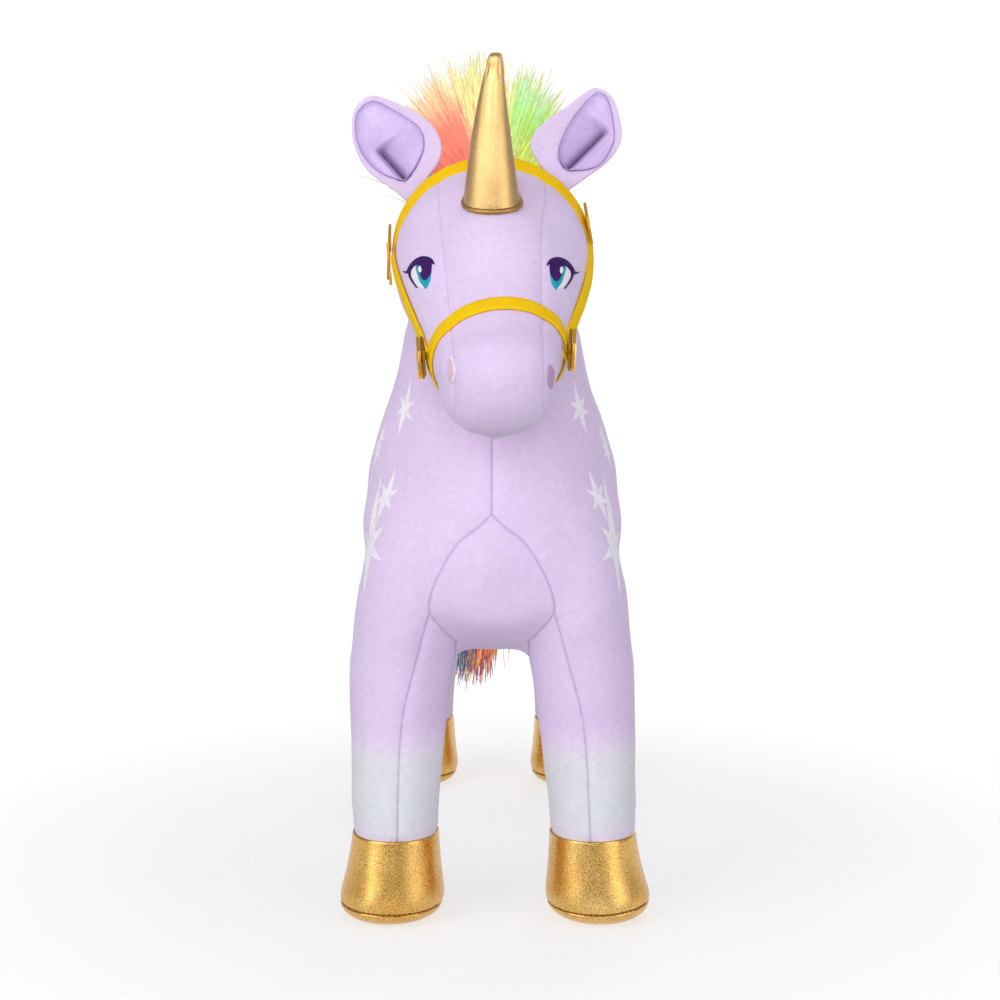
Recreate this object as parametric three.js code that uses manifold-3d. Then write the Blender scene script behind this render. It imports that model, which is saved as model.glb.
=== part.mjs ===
// A standing plush unicorn: sewn velour panels over fibrefill, gold hooves and horn,
// long-pile mane and tail, and a ribbon halter with star plates.
// Millimetres, +Z up, the animal faces -Y, its own left is +X. The origin is at floor level
// under the middle of the object.
import * as THREE from "three";
import { mergeVertices } from "three/addons/utils/BufferGeometryUtils.js";
import Module from "manifold-3d";

const wasm = await Module();
wasm.setup();

// ---------- driving dimensions ----------
const SKIN = 1.5; // cloth and its seam allowance
const GAP = 0.3; // between sewn pieces
const FILL_INSET = SKIN + GAP; // from the outside of the cloth to the fibrefill
const NECK_GAP = 0.6; // between the two halves of the neck

const HALF_SPAN = { x: 200, y: 300, z: 400 }; // well past the toy on every side
const HOOF_TOP = 38; // seam between leg and hoof
const SOLE_TOP = 6; // seam between hoof and sole
const HOOF_DEPTH_RATIO = 1.06; // hoof's length over its width
const HOOF_X = 44.4; // at floor level
const HOOF_SPLAY = 0.045; // how far the hoof leans outwards, per unit of height
const FRONT_LEG_Y = -95;
const REAR_LEG_Y = 137;

const NECK_AXIS = new THREE.Vector3(0, -0.261, 0.965).normalize();
const NECK_PIVOT = new THREE.Vector3(0, -85.5, 246); // where the neck turns
const COLLAR_RADIUS = 47; // room that the jaw leaves round the lower neck

const HORN_BASE = new THREE.Vector3(0, -135.5, 311);
const HORN_LEAN = 17; // degrees forward
const HORN_LENGTH = 57;
const HORN_ROOT = 12; // length below the base centre, trimmed to the forehead

const RIBBON_WIDTH = 6;
const RIBBON_THICK = 0.8;
const RIBBON_GAP = 0.35; // between face and ribbon
const PLATE_THICK = 1.2;
const THREAD_HEIGHT = 0.8; // embroidery's height over the cloth

const TEMPLE = { x: 43.4, y: -108, z: 294 }; // temple star plate's inner face
const CHEEK = { x: 30.4, y: -160, z: 246 }; // noseband star plate's inner face

const EAR_HALF = new THREE.Vector3(16.5, 7, 22); // half width, half depth, half length
const EAR_Y = -96;
const EAR_BACK_LEAN = 8; // degrees backwards
// The two sides are sewn a little differently, as handwork is.
const SIDES = [
  { name: "left", s: 1, earX: 33, earZ: 317, earSplay: 20, templeZ: 300, templeSize: 20 },
  { name: "right", s: -1, earX: 36, earZ: 315, earSplay: 22, templeZ: 288, templeSize: 26 },
];

// Stations of each stuffed form: centre, half width, half height and the lean of the
// height direction in degrees from +Z towards +Y.
const TORSO = [
  { c: [0, -131, 158], w: 54, h: 46, lean: 0 },
  { c: [0, -72, 165], w: 59.5, h: 51, lean: 0 },
  { c: [0, 20, 166], w: 52, h: 48, lean: 0 },
  { c: [0, 108, 169], w: 57.5, h: 51, lean: 0 },
  { c: [0, 170, 166], w: 52, h: 46, lean: 0 },
];
const NECK = [
  { c: [0, -60, 150], w: 54, h: 54, lean: 75 },
  { c: [0, -70.5, 187], w: 57.5, h: 53, lean: 75 },
  { c: [0, -78.5, 216], w: 50, h: 46, lean: 75 },
  { c: [0, -85.5, 242], w: 41, h: 41, lean: 75 },
  { c: [0, -97.5, 288], w: 37, h: 37, lean: 75 },
];
const HEAD = [
  { c: [0, -62, 297], w: 39, h: 34, lean: 0 },
  { c: [0, -90, 294], w: 42, h: 37.5, lean: -10 },
  { c: [0, -113, 283], w: 42, h: 38, lean: -28 },
  { c: [0, -137, 262], w: 34, h: 29, lean: -42 },
  { c: [0, -156, 246], w: 28.5, h: 26.5, lean: -46 },
  { c: [0, -192, 228], w: 27, h: 25, lean: -38 },
];
const legStations = (side, y, thigh) => [
  { c: [side * 27, y - thigh * 0.3, 196], w: 21, h: 24 + thigh, lean: 90 },
  { c: [side * 33.5, y - thigh * 0.2, 152], w: 24.5, h: 30 + thigh, lean: 90 },
  { c: [side * 39.8, y, 112], w: 22.8, h: 25 + thigh * 0.4, lean: 90 },
  { c: [side * 41.6, y, 76], w: 21, h: 22, lean: 90 },
  { c: [side * 42.8, y, 40], w: 19.3, h: 20.6, lean: 90 },
  { c: [side * 44.2, y, 4], w: 19.3, h: 20.6, lean: 90 },
];
const TAIL = [
  { c: [-2, 174, 206], w: 8, h: 5, lean: 90 },
  { c: [-6, 182, 178], w: 17, h: 9, lean: 90 },
  { c: [-11, 184, 140], w: 22, h: 12, lean: 90 },
  { c: [-14, 184, 95], w: 24, h: 13, lean: 90 },
  { c: [-15, 182, 42], w: 19, h: 11, lean: 90 },
];
// The crest's stations lie along the back of the neck; the fur stands out from it.
const MANE = [
  { c: [0, -62, 330], w: 14, h: 20, lean: 50 },
  { c: [0, -37, 290], w: 16, h: 20, lean: 78 },
  { c: [0, -32, 262], w: 16, h: 19, lean: 72 },
  { c: [0, -18, 237], w: 15, h: 17, lean: 50 },
  { c: [0, 10, 219], w: 11, h: 9, lean: 15 },
];
const FORELOCK = [
  { c: [-1, -97, 338], w: 13, h: 18, lean: -12 },
  { c: [-3, -86, 346], w: 18, h: 27, lean: 6 },
  { c: [-3, -70, 340], w: 19, h: 26, lean: 25 },
  { c: [0, -44, 308], w: 15, h: 19, lean: 65 },
];

// ---------- materials ----------
const finish = (color, roughness, metalness = 0) => ({ color, roughness, metalness });
const VELOUR = finish(0xdccbee, 0.95);
const FILL = finish(0xf4f2ee, 1);
const LAME = finish(0xd9a441, 0.38, 0.8);
const HORN_GOLD = finish(0xe3c97a, 0.35, 0.7);
const SATIN = finish(0xc9b4ea, 0.45);
const RIBBON = finish(0xffd21e, 0.7);
const PLATE = finish(0xe0aa2d, 0.3, 0.9);
const EYE_THREAD = finish(0x4d1969, 0.6);
const NOSE_THREAD = finish(0xb997b9, 0.7);
const MANE_PILE = finish(0xf0a98c, 0.9);
const TAIL_PILE = finish(0x2f8f95, 0.9);

// ---------- solids ----------
function solidOf(geometry, tolerance = 1e-4) {
  const bare = geometry.clone();
  bare.deleteAttribute("normal");
  bare.deleteAttribute("uv");
  const merged = mergeVertices(bare, tolerance);
  return new wasm.Manifold(
    new wasm.Mesh({
      numProp: 3,
      vertProperties: new Float32Array(merged.attributes.position.array),
      triVerts: new Uint32Array(merged.index.array),
    }),
  );
}

function geometryOf(solid) {
  const mesh = solid.getMesh();
  const geometry = new THREE.BufferGeometry();
  geometry.setAttribute("position", new THREE.BufferAttribute(mesh.vertProperties, 3));
  geometry.setIndex(new THREE.BufferAttribute(mesh.triVerts, 1));
  const flat = geometry.toNonIndexed();
  flat.computeVertexNormals();
  return flat;
}

// The largest body of a solid, without the slivers that a cut can leave. The second pass
// looks again once vertices less than a micrometre or two apart are one.
function largest(solid) {
  const biggest = (bodies) => bodies.reduce((a, b) => (a.volume() > b.volume() ? a : b));
  const first = biggest(solid.decompose());
  return biggest(solidOf(geometryOf(first), 2e-3).decompose());
}

function addPiece(group, name, solidOrGeometry, look) {
  const geometry = solidOrGeometry.isBufferGeometry ? solidOrGeometry : geometryOf(solidOrGeometry);
  const mesh = new THREE.Mesh(geometry, new THREE.MeshStandardMaterial(look));
  mesh.name = name;
  group.add(mesh);
  return mesh;
}

// Everything on one side of the middle plane, less half of the gap between the two sides.
function halfSpace(sign) {
  const near = sign * (GAP / 2);
  const far = sign * HALF_SPAN.x;
  return box(
    [Math.min(near, far), -HALF_SPAN.y, 0],
    [Math.max(near, far), HALF_SPAN.y, HALF_SPAN.z],
  );
}

// A stuffed form: a sphere whose poles and rings are carried along a row of oval stations.
// blunt 2 gives egg-like ends and more gives fuller ones; square does the same for the ovals'
// corners; a positive inset shrinks the form.
function plump(stations, { blunt = 2.6, square = 2, sides = 24, rings = 14, inset = 0 } = {}) {
  const spine = new THREE.CatmullRomCurve3(stations.map((s) => new THREE.Vector3(...s.c)));
  const ovals = new THREE.CatmullRomCurve3(
    stations.map((s) => new THREE.Vector3(s.w, s.h, s.lean)),
    false,
    "catmullrom",
    0.5,
  );
  const geometry = new THREE.SphereGeometry(1, sides, rings);
  const position = geometry.attributes.position;
  const point = new THREE.Vector3();
  for (let i = 0; i < position.count; i++) {
    point.fromBufferAttribute(position, i);
    const along = THREE.MathUtils.clamp(point.y, -1, 1);
    const radial = Math.hypot(point.x, point.z);
    const u = (1 - along) / 2;
    const oval = ovals.getPoint(u);
    const ring = Math.pow(Math.max(0, 1 - Math.pow(Math.abs(along), blunt)), 1 / blunt);
    const across = radial < 1e-6 ? 1 : point.x / radial;
    const upward = radial < 1e-6 ? 0 : point.z / radial;
    const lean = THREE.MathUtils.degToRad(oval.z);
    const corner = Math.pow(Math.abs(across) ** square + Math.abs(upward) ** square, -1 / square);
    const rise = upward * corner * (oval.y - inset) * ring;
    point.copy(spine.getPoint(u)).addScaledVector(spine.getTangent(u), inset * along);
    point.x += across * corner * (oval.x - inset) * ring;
    point.y += rise * Math.sin(lean);
    point.z += rise * Math.cos(lean);
    position.setXYZ(i, point.x, point.y, point.z);
  }
  const solid = solidOf(geometry);
  if (solid.volume() > 0) return solid;
  // The row of stations ran the other way round, so its faces are turned.
  const index = geometry.index.array;
  for (let i = 0; i < index.length; i += 3) {
    [index[i + 1], index[i + 2]] = [index[i + 2], index[i + 1]];
  }
  return solidOf(geometry);
}

function box(low, high) {
  const size = high.map((value, i) => value - low[i]);
  const geometry = new THREE.BoxGeometry(...size);
  geometry.translate(...low.map((value, i) => value + size[i] / 2));
  return solidOf(geometry);
}

// A flat outline given as [across, up] points in the XZ plane, carried along Y.
function prismAlongY(points, yFrom, yTo) {
  const shape = new THREE.Shape(points.map(([x, z]) => new THREE.Vector2(x, z)));
  const geometry = new THREE.ExtrudeGeometry(shape, { depth: yTo - yFrom, bevelEnabled: false });
  geometry.rotateX(Math.PI / 2);
  geometry.translate(0, yTo, 0);
  return solidOf(geometry);
}

// A slab that holds the X direction and the line from a to b in the YZ plane.
function slab(a, b, thickness, reach = 200) {
  const angle = Math.atan2(b[1] - a[1], b[0] - a[0]);
  const geometry = new THREE.BoxGeometry(reach, reach * 2, thickness);
  geometry.rotateX(angle);
  geometry.translate(0, (a[0] + b[0]) / 2, (a[1] + b[1]) / 2);
  return solidOf(geometry);
}

// A round bar or disc on the neck's turning axis, from one distance to another along it.
function neckBar(radius, from, to) {
  const geometry = new THREE.CylinderGeometry(radius, radius, to - from, 28);
  geometry.translate(0, (from + to) / 2, 0);
  geometry.applyQuaternion(
    new THREE.Quaternion().setFromUnitVectors(new THREE.Vector3(0, 1, 0), NECK_AXIS),
  );
  geometry.translate(NECK_PIVOT.x, NECK_PIVOT.y, NECK_PIVOT.z);
  return solidOf(geometry);
}

// A closed ring or solid of revolution about +Z from [radius, height] points.
function turned(points, segments = 18) {
  const profile = points.map(([r, z]) => new THREE.Vector2(r, z));
  const geometry = new THREE.LatheGeometry(profile, segments);
  geometry.rotateX(Math.PI / 2);
  return geometry;
}

// ---------- the stuffed forms, outside and inside ----------
const ENDS = [
  { name: "front", y: FRONT_LEG_Y, thigh: 0 },
  { name: "rear", y: REAR_LEG_Y, thigh: 6 },
];
const LEGS = ENDS.flatMap((end) =>
  SIDES.map((side) => ({ name: `${end.name}_${side.name}`, s: side.s, y: end.y, thigh: end.thigh })),
);
const LEG_OPTIONS = { blunt: 6, sides: 14, rings: 9 };

const wholeNeck = (inset) => plump(NECK, { blunt: 5, sides: 18, rings: 8, inset });
const aboveNeckCut = (extra = 0) => neckBar(400, NECK_GAP / 2 - extra, 400);
const belowNeckCut = (extra = 0) => neckBar(400, -400, extra - NECK_GAP / 2);
const torsoForm = (inset) => plump(TORSO, { blunt: 3.2, square: 2.35, sides: 20, rings: 11, inset });
const legForm = (leg, inset) => plump(legStations(leg.s, leg.y, leg.thigh), { ...LEG_OPTIONS, inset });
const headForm = (inset) => plump(HEAD, { blunt: 3, sides: 20, rings: 12, inset });
const jawRoom = neckBar(COLLAR_RADIUS, -60, NECK_GAP / 2);

// The neck is cut across where the head turns; extra carries a hollow past that cut.
function bodyForm(inset, extra = 0) {
  const neck = wholeNeck(inset).intersect(belowNeckCut(extra));
  const legs = LEGS.map((leg) => legForm(leg, inset));
  return legs.reduce((sum, leg) => sum.add(leg), torsoForm(inset).add(neck));
}

function headAndNape(inset, extra = 0) {
  return headForm(inset).add(wholeNeck(inset).intersect(aboveNeckCut(extra)));
}
const HOLLOW_EXTRA = 4;

// ---------- groups that move as one ----------
const unicorn = new THREE.Group();
const trunk = new THREE.Group();
const head = new THREE.Group();
const tail = new THREE.Group();
unicorn.add(trunk, head, tail);

// ---------- trunk: velour panels ----------
const legsAboveHooves = box([-200, -300, HOOF_TOP + GAP / 2], [200, 300, 400]);
const bodyShell = bodyForm(0).subtract(bodyForm(SKIN, HOLLOW_EXTRA)).intersect(legsAboveHooves);

// Chest and belly panel: an egg-shaped chest, then a strip back between the legs.
const CHEST = { apex: 183, shoulder: 137, bottom: 96, half: 27.5 };
const BELLY_HALF = 17;
function bellyCutter(grow) {
  const outline = [
    [0, CHEST.apex + grow],
    [15 + grow, 175],
    [22 + grow, 160],
    [CHEST.half + grow, CHEST.shoulder],
    [BELLY_HALF + grow, 122],
    [BELLY_HALF + grow, CHEST.bottom],
  ];
  const mirrored = outline.slice(1).reverse().map(([x, z]) => [-x, z]);
  const chest = prismAlongY([...mirrored, ...outline].reverse(), -200, -72);
  const half = BELLY_HALF + grow;
  const strip = box([-half, -100, CHEST.bottom], [half, 220, 148]);
  return chest.add(strip);
}

// The seam down the front and back of each leg, as a line in the XZ plane.
function innerLegCutter(s, grow) {
  const points = [
    [0, 100],
    [0, -5],
    [43 + grow, -5],
    [42 + grow, HOOF_TOP],
    [39 + grow, 90],
    [CHEST.half + grow, CHEST.shoulder + grow],
    [BELLY_HALF - 3, 122 + 2 * grow],
  ].map(([x, z]) => [s * x, z]);
  return prismAlongY(s > 0 ? points.reverse() : points, -200, 220);
}

const bellyPanel = largest(bodyShell.intersect(bellyCutter(0)));
addPiece(trunk, "belly_gusset", bellyPanel, VELOUR);

const beyondBelly = bodyShell.subtract(bellyCutter(GAP));
for (const leg of LEGS) {
  const nearLeg = box([-200, leg.y - 70, 0], [200, leg.y + 70, 200]);
  const panel = beyondBelly.intersect(innerLegCutter(leg.s, 0)).intersect(nearLeg);
  addPiece(trunk, `inner_leg_${leg.name}`, largest(panel), VELOUR);
}
for (const side of SIDES) {
  const half = halfSpace(side.s);
  const panel = beyondBelly.subtract(innerLegCutter(side.s, GAP)).intersect(half);
  addPiece(trunk, `side_panel_${side.name}`, largest(panel), VELOUR);
}

// ---------- trunk: fibrefill ----------
const torsoFill = torsoForm(FILL_INSET);
addPiece(trunk, "torso_fill", torsoFill, FILL);
const neckFill = wholeNeck(FILL_INSET).intersect(belowNeckCut()).subtract(torsoForm(FILL_INSET - GAP));
addPiece(trunk, "neck_fill", largest(neckFill), FILL);
const restOfFill = torsoForm(FILL_INSET - GAP).add(wholeNeck(FILL_INSET - GAP));

// ---------- hooves ----------
const HOOF_OUTSIDE = [
  [19.3, HOOF_TOP - GAP / 2],
  [19.7, 31],
  [21, 20],
  [22.3, 12],
  [22.4, SOLE_TOP + GAP / 2],
];
const SOLE_OUTSIDE = [
  [22.3, SOLE_TOP - GAP / 2],
  [20.6, 2.6],
  [17.5, 0.6],
  [15, 0],
];
const inwards = (points, by) => points.map(([r, z]) => [r - by, z]);

function hoofCover() {
  const inside = inwards(HOOF_OUTSIDE, SKIN).reverse();
  const loop = [...HOOF_OUTSIDE, ...inside];
  return turned([...loop, loop[0]].reverse());
}

function sole() {
  const top = SOLE_TOP - GAP / 2;
  return turned([
    [0, 0],
    ...SOLE_OUTSIDE.slice().reverse(),
    [20.6, top],
    [19.2, 3.6],
    [16.5, SKIN + 0.2],
    [0, SKIN],
  ]);
}

function hoofFill() {
  return turned([
    [0, SKIN + GAP],
    [16, SKIN + GAP + 0.2],
    [18.4, 4.2],
    ...inwards(HOOF_OUTSIDE, FILL_INSET).reverse(),
    [14, HOOF_TOP - GAP],
    [14, HOOF_TOP + 2],
    [0, HOOF_TOP + 2],
  ]);
}

// A hoof is a little longer than wide, and leans outwards.
function standHoof(geometry, leg) {
  geometry.scale(1, HOOF_DEPTH_RATIO, 1);
  geometry.applyMatrix4(new THREE.Matrix4().makeShear(0, 0, 0, 0, -leg.s * HOOF_SPLAY, 0));
  geometry.translate(leg.s * HOOF_X, leg.y, 0);
  return geometry;
}

for (const leg of LEGS) {
  addPiece(trunk, `hoof_cover_${leg.name}`, standHoof(hoofCover(), leg), LAME);
  addPiece(trunk, `sole_${leg.name}`, standHoof(sole(), leg), LAME);
  const filled = standHoof(hoofFill(), leg);
  const upper = legForm(leg, FILL_INSET).intersect(legsAboveHooves).subtract(restOfFill);
  addPiece(trunk, `leg_fill_${leg.name}`, largest(upper.add(solidOf(filled))), FILL);
}

// ---------- head: velour panels and fibrefill ----------
const headShell = headAndNape(0).subtract(headAndNape(SKIN, HOLLOW_EXTRA)).subtract(jawRoom);

// The strip down the middle of the face, from the poll to under the chin.
function faceCutter(grow) {
  const outline = [
    [23 + grow, 345],
    [20.5 + grow, 303],
    [18.5 + grow, 280],
    [17 + grow, 240],
    [16 + grow, 205],
  ];
  const mirrored = outline.slice().reverse().map(([x, z]) => [-x, z]);
  return prismAlongY([...outline, ...mirrored].reverse(), -230, -108);
}
addPiece(head, "face_gusset", largest(headShell.intersect(faceCutter(0))), VELOUR);
const besideFace = headShell.subtract(faceCutter(GAP));
for (const side of SIDES) {
  const half = halfSpace(side.s);
  addPiece(head, `head_panel_${side.name}`, largest(besideFace.intersect(half)), VELOUR);
}
addPiece(head, "head_fill", largest(headAndNape(FILL_INSET).subtract(jawRoom)), FILL);

// ---------- horn ----------
function hornProfile(inset) {
  const steps = 8;
  const points = [];
  for (let i = 0; i <= steps; i++) {
    const t = i / steps;
    const radius = 11.4 - 8.2 * Math.pow(t, 1.15) + 0.8 * Math.sin(Math.PI * t);
    points.push([Math.max(radius - inset, 1), -HORN_ROOT + t * (HORN_LENGTH + HORN_ROOT - 3)]);
  }
  return points;
}

function placeHorn(geometry) {
  geometry.rotateX(THREE.MathUtils.degToRad(HORN_LEAN));
  geometry.translate(HORN_BASE.x, HORN_BASE.y, HORN_BASE.z);
  return solidOf(geometry);
}
const hornOutside = placeHorn(turned([[0, -HORN_ROOT], ...hornProfile(0), [0, HORN_LENGTH]], 14));
const hornInside = placeHorn(
  turned([[0, -HORN_ROOT - 3], [10.2, -HORN_ROOT - 3], ...hornProfile(1.2), [0, HORN_LENGTH - 2]], 14),
);
const hornFill = placeHorn(
  turned([[0, -HORN_ROOT], ...hornProfile(1.5), [0, HORN_LENGTH - 2.5]], 14),
);
const headRoom = headForm(-GAP);
addPiece(head, "horn_cover", largest(hornOutside.subtract(hornInside).subtract(headRoom)), HORN_GOLD);
addPiece(head, "horn_fill", largest(hornFill.subtract(headRoom)), FILL);

// ---------- embroidery ----------
const threadLayer = headForm(-GAP - THREAD_HEIGHT).subtract(headRoom);
function oval(cx, cz, halfWidth, halfHeight, tilt) {
  const curve = new THREE.EllipseCurve(cx, cz, halfWidth, halfHeight, 0, 2 * Math.PI, true, tilt);
  return curve.getPoints(16).slice(0, -1).map((p) => [p.x, p.y]);
}
for (const side of SIDES) {
  const eye = prismAlongY(oval(side.s * 29.3, 281, 5.6, 6.2, 0), -230, -125);
  addPiece(head, `eye_embroidery_${side.name}`, largest(threadLayer.intersect(eye)), EYE_THREAD);
  const nostril = prismAlongY(oval(side.s * 20.5, 240, 1.5, 4.8, side.s * 0.12), -230, -150);
  addPiece(head, `nostril_embroidery_${side.name}`, largest(threadLayer.intersect(nostril)), NOSE_THREAD);
}

// ---------- halter ----------
const ribbonLayer = headForm(-RIBBON_GAP - RIBBON_THICK).subtract(headForm(-RIBBON_GAP));
const NOSE_TOP = [-174, 267];
const NOSE_BOTTOM = [-142, 223];
const POLL = [-103, 331];
const templeYZ = [TEMPLE.y, TEMPLE.z];
const cheekYZ = [CHEEK.y, CHEEK.z];

const noseband = ribbonLayer.intersect(slab(NOSE_TOP, NOSE_BOTTOM, RIBBON_WIDTH));
addPiece(head, "noseband", largest(noseband), RIBBON);

const aboveTemple = box([-100, -200, TEMPLE.z + 1.5], [100, 0, 400]);
const crown = ribbonLayer.intersect(slab(templeYZ, POLL, RIBBON_WIDTH)).intersect(aboveTemple);
addPiece(head, "crown_strap", largest(crown), RIBBON);

const keepFromNoseband = slab(NOSE_TOP, NOSE_BOTTOM, RIBBON_WIDTH + 2 * GAP);
const keepFromCrown = box([-100, -300, TEMPLE.z + 1.5 - GAP], [100, 300, 400]);
for (const side of SIDES) {
  const flank = side.s > 0 ? [12, 100] : [-100, -12];
  const reach = box([flank[0], CHEEK.y, 200], [flank[1], 0, 400]);
  const strap = ribbonLayer
    .intersect(slab(templeYZ, cheekYZ, RIBBON_WIDTH * 0.8))
    .intersect(reach)
    .subtract(keepFromNoseband)
    .subtract(keepFromCrown);
  addPiece(head, `cheek_strap_${side.name}`, largest(strap), RIBBON);
}

// A five-ray star with a longer upper ray, standing in the YZ plane.
function starPlate(height, thickness) {
  const half = height / 2;
  const rays = [
    { angle: 90, reach: half * 1.15 },
    { angle: 18, reach: half * 0.8 },
    { angle: -54, reach: half * 0.9 },
    { angle: -126, reach: half * 0.9 },
    { angle: 162, reach: half * 0.8 },
  ];
  const shape = new THREE.Shape();
  rays.forEach((ray, i) => {
    const tip = THREE.MathUtils.degToRad(ray.angle);
    const notch = THREE.MathUtils.degToRad(ray.angle - 36);
    const start = i === 0 ? "moveTo" : "lineTo";
    shape[start](Math.cos(tip) * ray.reach, Math.sin(tip) * ray.reach);
    shape.lineTo(Math.cos(notch) * half * 0.42, Math.sin(notch) * half * 0.42);
  });
  const geometry = new THREE.ExtrudeGeometry(shape, {
    depth: thickness - 0.4,
    bevelThickness: 0.2,
    bevelSize: 0.2,
    bevelSegments: 1,
  });
  geometry.translate(0, 0, 0.2);
  geometry.rotateX(Math.PI / 2);
  geometry.rotateZ(Math.PI / 2);
  return geometry;
}

for (const side of SIDES) {
  const turn = side.s > 0 ? 0 : Math.PI;
  const templePlate = starPlate(side.templeSize, PLATE_THICK);
  const temple = addPiece(head, `temple_star_${side.name}`, templePlate, PLATE);
  temple.position.set(side.s * TEMPLE.x, TEMPLE.y, side.templeZ);
  temple.rotation.z = turn;
  const layers = ["inner", "outer"];
  layers.forEach((layer, i) => {
    const plate = addPiece(head, `cheek_star_${layer}_${side.name}`, starPlate(16, PLATE_THICK), PLATE);
    plate.position.set(side.s * (CHEEK.x + i * (PLATE_THICK + GAP)), CHEEK.y, CHEEK.z);
    plate.rotation.z = turn;
  });
}

// ---------- ears: a velour back and a satin lining, nested ----------
function earBowl(outer, inner) {
  const egg = (shrink) => {
    const geometry = new THREE.SphereGeometry(1, 14, 8);
    geometry.rotateX(Math.PI / 2);
    geometry.scale(EAR_HALF.x - shrink, EAR_HALF.y - shrink, EAR_HALF.z - shrink);
    const position = geometry.attributes.position;
    for (let i = 0; i < position.count; i++) {
      // Narrower towards the tip than at the base.
      const taper = 1 - (0.16 * position.getZ(i)) / EAR_HALF.z;
      position.setX(i, position.getX(i) * taper);
    }
    return solidOf(geometry);
  };
  return egg(outer).subtract(egg(inner)).subtract(box([-40, -40, -40], [40, -1.5, 40]));
}

for (const side of SIDES) {
  const ear = new THREE.Group();
  const tilt = new THREE.Group();
  ear.position.set(side.s * side.earX, EAR_Y, side.earZ);
  ear.rotation.set(
    THREE.MathUtils.degToRad(-EAR_BACK_LEAN),
    THREE.MathUtils.degToRad(side.s * side.earSplay),
    0,
    "YXZ",
  );
  tilt.position.z = EAR_HALF.z + 1;
  ear.add(tilt);
  head.add(ear);
  addPiece(tilt, `ear_back_${side.name}`, earBowl(0, SKIN), VELOUR);
  addPiece(tilt, `ear_lining_${side.name}`, earBowl(FILL_INSET, FILL_INSET + SKIN * 0.8), SATIN);
}

// ---------- long pile ----------
const headKeepOut = headForm(-1.2).add(wholeNeck(-1.2));
const hornKeepOut = placeHorn(turned([[0, -30], [13.5, -30], [13.5, 30], [4, 62], [0, 62]], 14));
const strapKeepOut = slab(templeYZ, POLL, RIBBON_WIDTH + 2 * GAP).intersect(headForm(-3));
const neckMane = plump(MANE, { blunt: 3, sides: 12, rings: 7 })
  .subtract(headKeepOut)
  .subtract(torsoForm(-1.2));
addPiece(trunk, "neck_mane", largest(neckMane.intersect(belowNeckCut())), MANE_PILE);
const forelock = plump(FORELOCK, { blunt: 2.6, sides: 14, rings: 8 })
  .add(plump(MANE, { blunt: 3, sides: 12, rings: 7 }).intersect(aboveNeckCut()))
  .subtract(headKeepOut)
  .subtract(strapKeepOut)
  .subtract(hornKeepOut);
addPiece(head, "forelock", largest(forelock), MANE_PILE);
const tailFur = plump(TAIL, { blunt: 2.6, sides: 14, rings: 8 }).subtract(torsoForm(-1.2));
addPiece(tail, "tail_fur", largest(tailFur), TAIL_PILE);

export default unicorn;
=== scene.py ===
import math
import random

import bmesh
import bpy
from mathutils import Matrix, Vector, noise
from mathutils.bvhtree import BVHTree
from mathutils.kdtree import KDTree


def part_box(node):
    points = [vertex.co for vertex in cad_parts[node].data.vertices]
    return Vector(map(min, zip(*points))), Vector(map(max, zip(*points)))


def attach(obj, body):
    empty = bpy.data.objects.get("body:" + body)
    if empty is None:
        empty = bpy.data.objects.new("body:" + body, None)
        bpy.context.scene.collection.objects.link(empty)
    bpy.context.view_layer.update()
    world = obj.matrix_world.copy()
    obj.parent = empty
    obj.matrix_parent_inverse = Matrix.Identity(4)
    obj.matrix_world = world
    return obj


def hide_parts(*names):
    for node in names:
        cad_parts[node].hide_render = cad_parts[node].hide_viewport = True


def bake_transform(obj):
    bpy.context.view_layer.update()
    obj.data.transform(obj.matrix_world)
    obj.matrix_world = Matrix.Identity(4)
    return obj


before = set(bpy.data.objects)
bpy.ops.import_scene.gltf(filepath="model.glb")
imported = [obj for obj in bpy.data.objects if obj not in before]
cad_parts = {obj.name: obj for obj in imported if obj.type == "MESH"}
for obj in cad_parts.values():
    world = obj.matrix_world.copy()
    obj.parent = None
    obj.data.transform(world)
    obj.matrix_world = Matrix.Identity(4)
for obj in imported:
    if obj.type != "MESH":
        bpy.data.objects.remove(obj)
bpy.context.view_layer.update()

mm = 0.001
scene = bpy.context.scene
sideSigns = {"left": 1, "right": -1}
legNames = ["front_left", "front_right", "rear_left", "rear_right"]


def middle(node):
    low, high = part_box(node)
    return (low + high) / 2


# camera, light and floor
cameraPlan = {
    "distance": 793.5 * mm,  # in front of the toy's middle
    "aside": 3.4 * mm,
    "height": 243 * mm,
    "lookDown": 4.8,  # degrees
    "lens": 57.96,
}


def makeCamera(plan):
    data = bpy.data.cameras.new("camera")
    data.lens = plan["lens"]
    data.sensor_width = 36
    data.clip_start = 0.01
    camera = bpy.data.objects.new("camera", data)
    camera.location = (plan["aside"], -plan["distance"], plan["height"])
    camera.rotation_euler = (math.radians(90 - plan["lookDown"]), 0, 0)
    scene.collection.objects.link(camera)
    scene.camera = camera


lightPlan = {
    "key": {"at": (-0.95, -0.95, 0.7), "size": 0.9, "power": 7.8, "color": (1, 0.98, 0.96)},
    "fill": {"at": (1.0, -0.9, 0.55), "size": 1.0, "power": 4.2, "color": (1, 0.97, 0.95)},
    "front": {"at": (-0.1, -2.2, 0.5), "size": 1.0, "power": 15.5, "color": (1, 0.98, 0.97)},
    "top": {"at": (0.0, 0.3, 1.35), "size": 1.2, "power": 1.6, "color": (1, 1, 1)},
    "back": {"at": (0.5, 1.7, 0.8), "size": 1.2, "power": 9.0, "color": (1, 1, 1)},
}


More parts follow.
